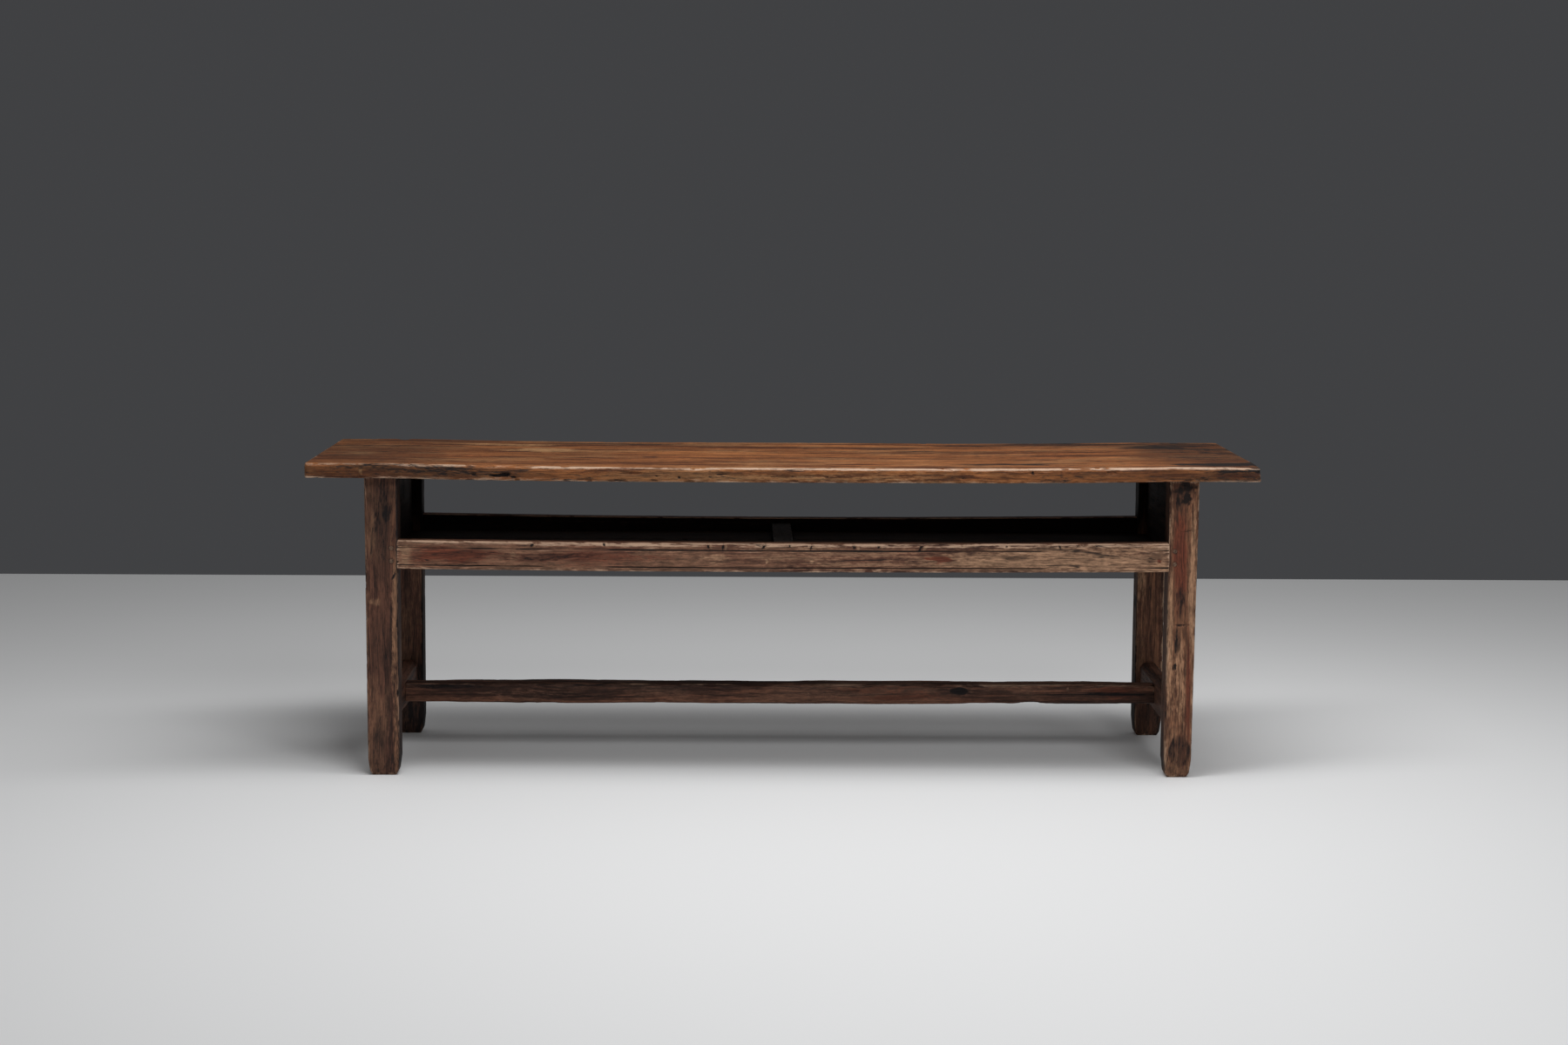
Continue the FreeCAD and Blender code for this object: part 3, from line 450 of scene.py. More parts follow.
def woodMaterial(name, axis, shades, offset, blotching, relief):
    material = bpy.data.materials.new(name)
    material.use_nodes = True
    tree = material.node_tree
    shader = tree.nodes["Principled BSDF"]
    place = addNode(tree, "TexCoord").outputs["Object"]
    turn = [math.radians(angle) for angle in grainTurns[axis]]
    turned = addNode(tree, "Mapping", {"Vector": place, "Location": offset, "Rotation": turn})
    pattern = addNode(tree, "Group", node_tree=grainGroup)
    tree.links.new(turned.outputs[0], pattern.inputs["Vector"])
    colours = addNode(tree, "Group", node_tree=tintGroup)
    for label in fieldNames:
        tree.links.new(pattern.outputs[label], colours.inputs[label])
    for label in maskNames:
        mask = addNode(tree, "Attribute", attribute_name=label)
        tree.links.new(mask.outputs["Fac"], colours.inputs[label])
    for label, colour in zip(shadeNames, shades):
        colours.inputs[label].default_value = (*(part / 1000 for part in colour), 1)
    colours.inputs["Blotching"].default_value = blotching
    tree.links.new(colours.outputs["Color"], shader.inputs["Base Color"])
    tree.links.new(colours.outputs["Roughness"], shader.inputs["Roughness"])
    height = pattern.outputs["Height"]
    bump = addNode(tree, "Bump", {"Height": height, "Strength": finish["bump"], "Distance": relief})
    tree.links.new(bump.outputs["Normal"], shader.inputs["Normal"])
    shader.inputs["Specular IOR Level"].default_value = finish["specular"]
    return material


# Red, green and blue of each shade, in thousandths
topShades = ((66, 20, 7), (255, 90, 26), (280, 145, 62), (235, 72, 20), (420, 285, 200), (11, 7, 6))
# the left legs' shades are darker than the right legs' partly as painted shade, for light that falls from the
# right
shadedLeftLegShades = ((36, 15, 10), (110, 46, 28), (180, 92, 52), (120, 38, 20), (240, 145, 95), (9, 6, 6))
rightLegShades = ((78, 31, 17), (180, 79, 41), (280, 152, 86), (135, 36, 18), (380, 245, 160), (12, 7, 6))
railShades = ((78, 31, 19), (155, 66, 40), (280, 160, 95), (135, 36, 18), (460, 300, 205), (11, 7, 6))
stretcherShades = ((32, 13, 8), (132, 55, 32), (130, 66, 42), (95, 28, 14), (200, 125, 85), (6, 4, 4))
# the shelf boards' shades are dark partly as painted shade, for the shadow under the top
shadowedShelfShades = ((18, 12, 9), (40, 26, 19), (65, 47, 36), (45, 22, 14), (110, 82, 64), (6, 5, 4))
panelShades = ((30, 15, 10), (80, 42, 27), (130, 80, 52), (85, 30, 16), (200, 135, 95), (10, 7, 6))
# the cleats' and cross rail's grey shades are dark partly as painted shade under the top
shadowedGreyShades = ((20, 18, 17), (44, 41, 39), (72, 68, 64), (40, 31, 26), (130, 125, 120), (7, 6, 6))
pegShades = ((60, 34, 22), (125, 72, 46), (170, 110, 72), (110, 50, 30), (240, 165, 115), (12, 8, 7))

topWood = woodMaterial("topWood", 0, topShades, (0, 0.3, 0.1), 0.35, 0.0009)
shadedLeftLegWood = woodMaterial("shadedLeftLegWood", 2, shadedLeftLegShades, (0.4, 0, 0.2), 0.4, 0.0008)
rightLegWood = woodMaterial("rightLegWood", 2, rightLegShades, (0.9, 0.5, 0), 0.4, 0.0008)
railWood = woodMaterial("railWood", 0, railShades, (0.2, 0.7, 0.4), 0.3, 0.0008)
stretcherWood = woodMaterial("stretcherWood", 0, stretcherShades, (0.6, 0.1, 0.8), 0.5, 0.0014)
endStretcherWood = woodMaterial("endStretcherWood", 1, stretcherShades, (0.3, 0.6, 0.2), 0.4, 0.0010)
panelWood = woodMaterial("panelWood", 1, panelShades, (0.5, 0.2, 0.9), 0.5, 0.0008)
shadowedShelfWood = woodMaterial("shadowedShelfWood", 0, shadowedShelfShades, (0.1, 0.8, 0.6), 0.4, 0.0008)
shadowedGreyWood = woodMaterial("shadowedGreyWood", 1, shadowedGreyShades, (0.7, 0.3, 0.5), 0.5, 0.0008)
pegWood = woodMaterial("pegWood", 1, pegShades, (0.8, 0.9, 0.3), 0.4, 0.0005)
print("materials made")

# Ageing that each piece starts from; cycles are per metre along and across the grain
smoothLook = dict(
    waveCycles=(5, 14), waveDepth=0.0012, fibreCycles=(9, 190), fibreDepth=0.0004, arrisReach=0.007,
    arrisWander=0.35, chipCycles=(38, 120), chipDepth=0.0022, chipStain=0.7, worn=0.62, crest=0.3,
    crestFrom=1,
)


# Plank top. In every piece, stations are the spacing, the end's edge round and the end face's rings,
# and steps are those up the sides and across the level faces, or across the first and the second axis

plank = dict(
    thickness=0.038, sag=0.006, levelHalf=0.310, bearingHalf=0.944, bow=0.009, cornerRadius=0.009,
    backLeftRadius=0.022, stations=(0.0050, 0.006, 9), upperSteps=66, crowding=0.55, edgeSteps=20, arcSteps=6,
    arrisRadius=0.0095, lowerRadius=0.0035, seed=3,
    look={**smoothLook, "waveCycles": (4, 9), "waveDepth": 0.0016, "arrisReach": 0.009, "worn": 0.55,
          "chipDepth": 0.0030, "fibreCycles": (6, 150), "crest": 0.72, "crestFrom": 0.35, "chipStain": 0.45},
)


def cornerCut(toEnd, radius):
    # how far a quarter circle of this radius takes off the width at this distance from the end
    return radius - np.sqrt(radius ** 2 - np.clip(radius - toEnd, 0, None) ** 2)


def plankLimits(place):
    # long edges bow by a parabola; the sag is flat in the middle and a parabola out to the legs
    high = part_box("table_top")[1]
    x = np.abs(place)
    share = np.clip((x - plank["levelHalf"]) / (plank["bearingHalf"] - plank["levelHalf"]), 0, 1)
    upper = high.z - plank["sag"] * (1 - share ** 2)
    halfWidth = high.y - plank["bow"] * (x / high.x) ** 2
    backRadius = np.where(place < 0, plank["backLeftRadius"], plank["cornerRadius"])
    near = cornerCut(high.x - x, plank["cornerRadius"]) - halfWidth
    far = halfWidth - cornerCut(high.x - x, backRadius)
    return np.stack([near, upper - plank["thickness"]], 1), np.stack([far, upper], 1)


def frontMark(x, height, wide, tall, *row):
    # a mark on the front edge, at a height above the plank's lower face
    low = plankLimits(np.array([x]))[0]
    return faceMark(x, low[0, 0], low[0, 1] + height, wide, marking["deep"], tall, *row)


def upperMark(x, y, wide, deep, *row):
    high = plankLimits(np.array([x]))[1]
    return faceMark(x, y, high[0, 1], wide, deep, marking["upperTall"], *row)


plankMarks = [frontMark(*row) for row in (
    (-0.7, 0.0125, 0.016, 0.0028, 0.006, 1, 0, 0, 0.5, -6),
    (-0.68, 0.015, 0.014, 0.0048, 0.009, 1, 0, 0, 0.5, 0, 2),
    (-0.657, 0.01, 0.005, 0.0028, 0.004, 0.9, 0, 0, 0.5),
    (-0.754, 0.015, 0.0045, 0.0032, 0.005, 0.9, 0, 0, 0.5),
    (-0.31, 0.016, 0.004, 0.0026, 0.004, 0.7, 0, 0, 0.5),
    (-0.255, 0.014, 0.0036, 0.0034, 0.004, 0.7, 0, 0, 0.5),
    (0.021, 0.016, 0.0035, 0.0024, 0.003, 0.6, 0, 0, 0.5),
    (0.103, 0.016, 0.0035, 0.0024, 0.003, 0.6, 0, 0, 0.5),
    (0.434, 0.014, 0.0035, 0.0026, 0.003, 0.6, 0, 0, 0.5),
    (0.605, 0.026, 0.0045, 0.004, 0.004, 0.7, 0, 0, 0.5),
    (-0.369, 0.022, 0.024, 0.0036, 0.0035, 0.4, 0, 0.5, 0.7),
    (-0.15, 0.021, 0.017, 0.0034, 0.003, 0.55, 0, 0, 0.7),
    (0.8, 0.026, 0.014, 0.005, 0.004, 0.35, 0, 0.4, 0.7),
    (0.409, 0.015, 0.022, 0.008, 0.001, 0.4, 0, 0.3, 0.7),
    (0.06, 0.018, 0.03, 0.0026, 0.002, 0.4, 0, 0, 0.6),
    (-1.034, 0.02, 0.0022, 0.015, 0.0022, 0.55, 0, 0, 0.6, 5),
    (-1.028, 0.02, 0.004, 0.013, 0, 0, 0.8, 0, 0.6),
    (-0.912, 0.034, 0.004, 0.008, 0.004, 0.5, 0, 0, 0.35, -12),
    (-0.181, 0.02, 0.0026, 0.015, 0.001, 0.25),
    (0.676, 0.02, 0.0026, 0.015, 0.001, 0.25),
    (1.13, 0.022, 0.06, 0.02, 0, 0.35, 0, 0, 0.9),
    (1.09, 0.018, 0.11, 0.026, 0, 0.46, 0, 0, 0.5),
    (-0.9, 0.014, 0.42, 0.021, 0, 0.4, 0, 0, 0.3),
    (-0.2, 0.012, 1, 0.02, 0, 0.2, 0, 0, 0.3),
    (0.02, 0.014, 0.56, 0.016, 0, 0, 0.42, 0, 0.5),
    (0.88, 0.014, 0.4, 0.02, 0, 0.27, 0, 0, 0.4),
)] + [upperMark(*row) for row in (
    (-0.609, 0.083, 0.13, 0.05, 0, 0, 0.8, 0, 0.7),
    (-0.72, 0.21, 0.18, 0.04, 0, 0, 0.62, 0, 0.7),
    (-1.06, -0.09, 0.07, 0.05, 0, 0, 0.55, 0, 0.8),
    (-0.82, -0.23, 0.2, 0.04, 0, 0, 0.42, 0, 0.8),
    (-0.337, -0.077, 0.03, 0.026, 0, 0.5, 0, 0.4, 0.6),
    (-0.337, -0.077, 0.11, 0.06, 0, 0, 0, 0.4, 0.6),
    (0.28, 0.167, 0.08, 0.04, 0, 0.5, 0, 0, 0.9),
    (0.367, 0.099, 0.1, 0.028, 0, 0.5, 0, 0, 0.9),
    (1.004, 0.23, 0.21, 0.09, 0, 0.52, 0, 0, 0.9),
    (0.985, 0.19, 0.11, 0.06, 0, 0.8, 0, 0, 1),
    (1.1, 0.06, 0.08, 0.11, 0, 0.55, 0, 0, 1),
    (1.08, -0.25, 0.13, 0.06, 0, 0.66, 0, 0, 1),
    (0.72, 0.285, 0.3, 0.04, 0, 0.55, 0, 0, 0.9),
    (0.56, -0.23, 0.15, 0.026, 0, 0.52, 0, 0, 0.9),
    (-0.917, -0.085, 0.26, 0.07, 0, 0, 0, 0.35, 0.7),
    (0.632, 0.042, 0.33, 0.16, 0, 0, 0, 0.28, 0.6),
    (0.15, -0.12, 0.26, 0.09, 0, 0, 0, 0.22, 0.6),
    (-1.08, -0.2, 0.15, 0.09, 0, 0.2, 0, 0, 0.9),
    (-1, 0.29, 0.24, 0.06, 0, 0.42, 0, 0, 0.8),
    (-0.45, 0.27, 0.3, 0.03, 0, 0.46, 0, 0, 0.9),
)] + [faceMark(*row) for row in (
    (-0.999, 0.335, 0.78, 0.012, 0.02, 0.01, 0.006, 0.8),
    (1.16, -0.31, 0.772, 0.05, 0.05, 0.016, 0.003, 0.8, 0, 0, 0.9),
)] + [upperMark(*row) for row in (
    (-1.02, 0, 0.33, 0.42, 0, 0.35, 0, 0, 0.4),
    (-0.56, 0, 0.3, 0.42, 0, 0.12, 0, 0, 0.4),
    (1.06, 0, 0.18, 0.42, 0, 0.4, 0, 0, 0.5),
)]


def makePlank():
    low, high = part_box("table_top")
    stations = stationsOf(low.x, high.x, *plank["stations"])
    across = evenShares(plank["upperSteps"])
    # closer steps beside both long edges
    crowded = across - plank["crowding"] * np.sin(2 * np.pi * across) / (2 * np.pi)
    steps = (plank["edgeSteps"], crowded)
    radius = (plank["lowerRadius"], plank["arrisRadius"], plank["arrisRadius"], plank["lowerRadius"])
    grid = agedGrid(0, stations, plankLimits, radius, steps, plank["look"], plankMarks, plank["seed"],
                    arcSteps=plank["arcSteps"])
    dress(meshFromGrids("plankTop", [grid]), ["table_top"], topWood)


makePlank()


# Legs

legs = dict(
    topHeight=0.742, tapers={"front_left": 0.002, "front_right": 0.005, "rear_left": 0.002, "rear_right": 0},
    arrisRadius=0.0040, crispRadius=0.0010, crisp=dict(waveDepth=0.0004, chipDepth=0.0006),
    stations=(0.0027, 0.0015, 9), steps=(22, 28), seed=60, seedStep=11, footHeights=(0, 0.011, 0.045),
    footInsets=(0.010, 0.004, 0), scuffRise=0.16, scuffStain=0.25, innerSideShade=0.40,
    # the arrises are worn pale, partly as painted highlight along the edges
    look={**smoothLook, "waveCycles": (5, 16), "waveDepth": 0.0010, "worn": 0.62, "fibreCycles": (7, 170),
          "fibreDepth": 0.0006},
)
pegs = dict(
    # the peg rims are dented a little and darkened with painted shade
    inset=0.016, reach=0.0075, railHeights=(0.53525, 0.56725), deep=0.006, frontRimShade=0.30, sideRimShade=0.5,
    # height, distance from the middle of the depth, and reach of each rim on the outer side
    sideRims=((0.5997, 0.247, 0.0062), (0.6805, 0.247, 0.0062), (0.156, 0.253, 0.0075)),
    rim=dict(depth=0.0007, sharp=3, ragged=0.1),
)


def legLimits(side, row):
    low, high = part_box(f"{row}_{side}_leg")
    foot = legs["footHeights"][-1]

    def limits(place):
        # the outer side tapers from the head down to the bevelled foot
        inset = np.interp(place, legs["footHeights"], legs["footInsets"])
        fall = 1 - np.clip((place - foot) / (legs["topHeight"] - foot), 0, 1)
        taper = legs["tapers"][f"{row}_{side}"] * fall
        left = low.x + inset + (taper if side == "left" else 0)
        right = high.x - inset - (taper if side == "right" else 0)
        return np.stack([left, low.y + inset], 1), np.stack([right, high.y - inset], 1)
    return limits


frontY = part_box("front_left_leg")[0].y
rearY = 0.235                                                   # the front faces of the rear legs
legMarks = {
    "front_left_leg": [faceMark(x, frontY, *more) for x, *more in (
        (-0.976, 0.71, 0.015, 0.012, 0.02, 0.0008, 0.32, 0, 0, 0.7),
        (-0.968, 0.66, 0.018, 0.012, 0.04, 0, 0.48, 0, 0, 0.7),
        (-0.998, 0.65, 0.005, 0.01, 0.01, 0.003, 0.55, 0, 0, 0.5),
        (-1.006, 0.6, 0.014, 0.012, 0.06, 0, 0, 0.55, 0, 0.8),
        (-0.957, 0.64, 0.009, 0.012, 0.11, 0, 0, 0.55, 0.35, 0.6),
        (-1, 0.432, 0.016, 0.012, 0.012, 0, 0, 0.6, 0, 0.7),
        (-0.993, 0.32, 0.026, 0.015, 0.11, 0, 0.2, 0, 0, 0.8),
        (-0.985, 0.62, 0.04, 0.015, 0.16, 0, 0.35, 0, 0, 0.6),
        (-0.953, 0.38, 0.01, 0.012, 0.17, 0, 0, 0.8, 0, 0.4),
        (-0.951, 0.13, 0.009, 0.012, 0.17, 0, 0, 0.62, 0.35, 0.5),
        (-0.949, 0.207, 0.0026, 0.008, 0.01, 0.003, 0.7),
        (-0.947, 0.508, 0.009, 0.01, 0.004, 0.0035, 0, 0.8, 0, 0.4, 35),
        (-0.956, 0.496, 0.003, 0.01, 0.01, 0, 0.6, 0, 0, 0.5, -30),
        (-0.99, 0.09, 0.02, 0.015, 0.06, 0, 0.32, 0, 0, 0.8),
    )],
    "front_right_leg": [faceMark(x, frontY, *more) for x, *more in (
        (0.984, 0.722, 0.032, 0.015, 0.016, 0.0018, 0.8, 0, 0, 1),
        (0.99, 0.696, 0.014, 0.01, 0.018, 0.0028, 0.9, 0, 0, 0.9),
        (0.968, 0.69, 0.008, 0.01, 0.024, 0.0018, 0.8, 0, 0, 0.9),
        (0.976, 0.56, 0.017, 0.015, 0.13, 0, 0.12, 0, 0.75, 0.6),
        (0.996, 0.618, 0.016, 0.01, 0.0024, 0.0022, 0.45, 0, 0, 0.3, 8),
        (1.008, 0.5, 0.008, 0.012, 0.2, 0, 0, 0.72, 0, 0.7),
        (0.954, 0.34, 0.008, 0.012, 0.19, 0, 0, 0.85, 0, 0.5),
        (0.953, 0.64, 0.006, 0.012, 0.12, 0, 0, 0.5, 0, 0.5),
        (0.983, 0.44, 0.016, 0.012, 0.045, 0, 0.34, 0, 0.3, 0.7),
        (0.983, 0.384, 0.02, 0.012, 0.0026, 0.0018, 0.4, 0, 0, 0.6),
        (0.972, 0.35, 0.01, 0.012, 0.036, 0.0008, 0.42, 0, 0, 0.9),
        (0.968, 0.278, 0.006, 0.01, 0.009, 0.0018, 0.55, 0, 0, 0.6),
        (0.984, 0.22, 0.026, 0.015, 0.13, 0, 0, 0.42, 0, 0.6),
        (1.003, 0.2, 0.007, 0.012, 0.15, 0, 0.25, 0, 0.6, 0.8),
        (0.985, 0.066, 0.03, 0.015, 0.044, 0, 0.46, 0, 0.3, 0.16, 0, 6),
        (0.98, 0.014, 0.034, 0.015, 0.016, 0, 0.18, 0.3, 0, 0.7),
    )],
    "rear_right_leg": [faceMark(*row) for row in (
        (0.947, 0.262, 0.36, 0.01, 0.02, 0.016, 0.002, 0.7, 0.4, 0, 0.5),
        (0.96, rearY, 0.42, 0.012, 0.012, 0.08, 0, 0, 0.6, 0, 0.6),
        # painted shade on the front face, high up under the top and down at the foot
        (0.98, rearY, 0.66, 0.06, 0.05, 0.095, 0, 0.6, 0, 0, 0.4),
        (0.98, rearY, 0.06, 0.06, 0.05, 0.13, 0, 0.5, 0, 0, 0.5),
    )],
    "rear_left_leg": [faceMark(*row) for row in (
        # painted shade on the front face, high up under the top and down at the foot
        (-0.98, rearY, 0.66, 0.06, 0.05, 0.095, 0, 0.6, 0, 0, 0.4),
        (-0.98, rearY, 0.06, 0.06, 0.05, 0.13, 0, 0.45, 0, 0, 0.5),
    )],
}


def innerAndOuter(side, low, high):
    return (high.x, low.x) if side == "left" else (low.x, high.x)


def pegRims(side, row):
    # a bruised rim round each peg's end, darkened with painted shade for the gap round the peg
    low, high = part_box(f"{row}_{side}_leg")
    inner, outer = innerAndOuter(side, low, high)
    face, way = (low.y, -1) if row == "front" else (high.y, 1)
    x = inner + math.copysign(pegs["inset"], inner)
    size = (pegs["reach"], pegs["deep"], pegs["reach"])
    rims = [dict(at=(x, face, z), size=size, stain=pegs["frontRimShade"], **pegs["rim"])
            for z in pegs["railHeights"]]
    for z, y, reach in pegs["sideRims"]:
        size = (pegs["deep"], reach, reach)
        rims.append(dict(at=(outer, way * y, z), size=size, stain=pegs["sideRimShade"], **pegs["rim"]))
    return rims


def makeLegs():
    for number, (side, row) in enumerate((s, r) for r in ("front", "rear") for s in ("left", "right")):
        node = f"{row}_{side}_leg"
        stations = stationsOf(0.0, legs["topHeight"], *legs["stations"])
        marks = legMarks[node] + pegRims(side, row)
        radius, look = [legs["arrisRadius"]] * 4, legs["look"]
        if side == "right":
            # the faces of this pair that line up in the photo stay crisp, so no gap shows between them
            radius[2 if row == "front" else 0] = legs["crispRadius"]
            look = {**look, **legs["crisp"]}
        seed = legs["seed"] + legs["seedStep"] * number
        points, masks = agedGrid(2, stations, legLimits(side, row), radius, legs["steps"], look, marks, seed)
        points[..., 2] = np.clip(points[..., 2], 0, None)
        points[stations[0] <= 0, :, 2] = 0.0                    # the sole stays flat on the floor
        scuff = smoothRise(legs["scuffRise"] - points[..., 2], 0, legs["scuffRise"])
        masks["stain"] = np.maximum(masks["stain"], legs["scuffStain"] * scuff)
        # painted shade on the leg's inner side
        shadeSheltered(points, masks, innerAndOuter(side, *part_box(node))[0], legs["innerSideShade"])
        wood = shadedLeftLegWood if side == "left" else rightLegWood
        dress(meshFromGrids(f"{row}{side.title()}Leg", [(points, masks)]), [node], wood)


makeLegs()


# Long rails

rails = dict(
    sag={"front": 0.0045, "rear": 0.007}, spacing={"front": 0.0027, "rear": 0.004}, into=0.003,
    seed={"front": 140, "rear": 170}, endRound=0.001, endRings=5, upperRadius=0.0075, lowerRadius=0.0035,
    faceSteps=32, closeSteps=9, closeShare=0.045, clearShare=0.05, levelSteps=10,
    quirkDrop=0.019, quirkRise=0.011, quirkWidth=0.0014, quirkDepth=0.0028, quirkWobble=0.0006,
    wobbleCycles=(7, 1, 1), fadeCycles=(4, 1, 1), fadeRange=(-0.45, -0.1), hollowDepth=0.0020,
    facingRange=(0.8, 0.99), beadRange=(-0.001, 0.001), beadWorn=0.45,
    ridgeCycles=(12, 60, 60), ridgeBase=0.5,
    # the bead's crown takes wear and a painted highlight, and the lip below the upper line a painted
    # highlight
    crownDrop=0.008, crownWidth=0.0018, crownWornAndLit=0.65, lipDrop=0.0034, lipWidth=0.0014, lipHighlight=0.6,
    # painted shade on the rear rail's side towards the shelf and on the end panels' inner sides
    handledBase=0.5, shelfRange=(0.6, 0.95), shelfShade=0.8,
    look={**smoothLook, "waveCycles": (6, 22), "waveDepth": 0.0010, "worn": 0.55, "fibreCycles": (8, 210),
          "crest": 0.75, "crestFrom": 0.5, "chipDepth": 0.0014, "chipStain": 0.35},
    # place, then depth, half width and half height in mm, and slant of each nick in the bead
    nicks=((-0.616, 3.8, 3.0, 7.5, -28), (-0.440, 1.8, 2.4, 5, 10), (-0.185, 3.0, 2.6, 8, 12),
           (-0.148, 2.8, 2.6, 9, -8), (-0.048, 4.0, 3.2, 9, -35), (0.015, 1.6, 2.4, 5, 15),
           (0.069, 3.6, 3.2, 8, -20), (0.173, 4.2, 4.0, 8, 18), (0.234, 3.4, 3.2, 7, -14),
           (0.338, 4.6, 4.0, 10, -38), (0.438, 1.6, 2.4, 5, 12), (0.549, 2.4, 2.6, 6, -25),
           (0.679, 2.6, 2.8, 7, 20), (0.724, 1.8, 2.4, 5, -10), (0.770, 1.8, 2.6, 5, 14)),
    highlightGap=2.6,                                              # where a nick's painted highlight lies, in half widths
)


def railLimits(row):
    low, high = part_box(f"{row}_rail")
    ends = (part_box("front_left_leg")[1].x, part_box("front_right_leg")[0].x)
    middle, half = sum(ends) / 2, (ends[1] - ends[0]) / 2
    sag = rails["sag"][row]

    def limits(place):
        # both edges sag by one parabola between the legs
        drop = sag * (1 - ((place - middle) / half) ** 2)
        near = np.full(len(place), low.y)
        far = np.full(len(place), high.y)
        return np.stack([near, low.z + sag - drop], 1), np.stack([far, high.z - drop], 1)
    return limits


def railShares(height):
    # steps down the face bunch up round the two scratched lines
    even = evenShares(rails["faceSteps"])
    lines = [rails["quirkRise"] / height, 1 - rails["quirkDrop"] / height]
    bunch = np.linspace(-rails["closeShare"], rails["closeShare"], rails["closeSteps"])
    kept = even[np.abs(even[:, None] - np.array(lines)).min(1) > rails["clearShare"]]
    return np.sort(np.concatenate([kept] + [line + bunch for line in lines]))


def frontRailMarks(limits):
    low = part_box("front_rail")[0]
    y = low.y
    marks = []
    for x, depth, wide, tall, slant in rails["nicks"]:
        depth, wide, tall = depth / 1000, wide / 1000, tall / 1000
        z = limits(np.array([x]))[1][0, 1] - tall
        # each nick is pressed in and darkened, with a painted highlight on its bright side
        beside = x + rails["highlightGap"] * wide
        marks += [faceMark(x, y, z, wide, 0.012, tall, depth, stain=0.75, slant=slant, ragged=0.3, sharp=1.5),
                  faceMark(beside, y, z, wide, 0.010, tall, pale=1.0, slant=slant, ragged=0.4)]
    return marks + [faceMark(x, y, *more) for x, *more in (
        (0.385, 0.546, 0.034, 0.012, 0.009, 0.0012, 0.22, 0, 0.9, 0.9),
        (0.573, 0.551, 0.075, 0.012, 0.008, 0.0006, 0.55, 0, 0, 0.9),
        (0.906, 0.551, 0.034, 0.012, 0.011, 0, 0.58, 0, 0.3, 0.9),
        (0.924, 0.544, 0.007, 0.01, 0.006, 0, 0.36, 0, 0.7, 0.6),
        (-0.041, 0.538, 0.004, 0.01, 0.007, 0.0015, 0, 1, 0, 0.5),
        (0.07, 0.538, 0.005, 0.01, 0.006, 0.0012, 0, 1, 0, 0.5),
        (0.75, 0.545, 0.45, 0.02, 0.05, 0, 0, 0.66, 0, 0.5),
        (0.15, 0.545, 0.25, 0.02, 0.05, 0, 0, 0.3, 0, 0.8),
        (-0.16, 0.545, 0.045, 0.012, 0.016, 0, 0, 0.55, 0, 0.6),
        (-0.82, 0.55, 0.11, 0.015, 0.022, 0, 0.2, 0, 0.6, 0.8),
        (-0.5, 0.545, 0.26, 0.015, 0.022, 0, 0.22, 0, 0.4, 0.9),
        (-0.925, 0.55, 0.018, 0.015, 0.034, 0, 0, 0.6, 0, 0.6),
        (-0.66, 0.548, 0.012, 0.01, 0.016, 0, 0, 0.5, 0, 0.8, -30),
        (-0.792, 0.548, 0.008, 0.01, 0.018, 0, 0, 0.5, 0, 0.8, 20),
        (0, low.z + 0.009, 0.95, 0.01, 0.005, 0, 0, 0.4, 0, 0.3),
    )]


def bell(distance, width):
    # 1 at the line, falling off as a Gauss curve
    return np.exp(-(distance / width) ** 2)


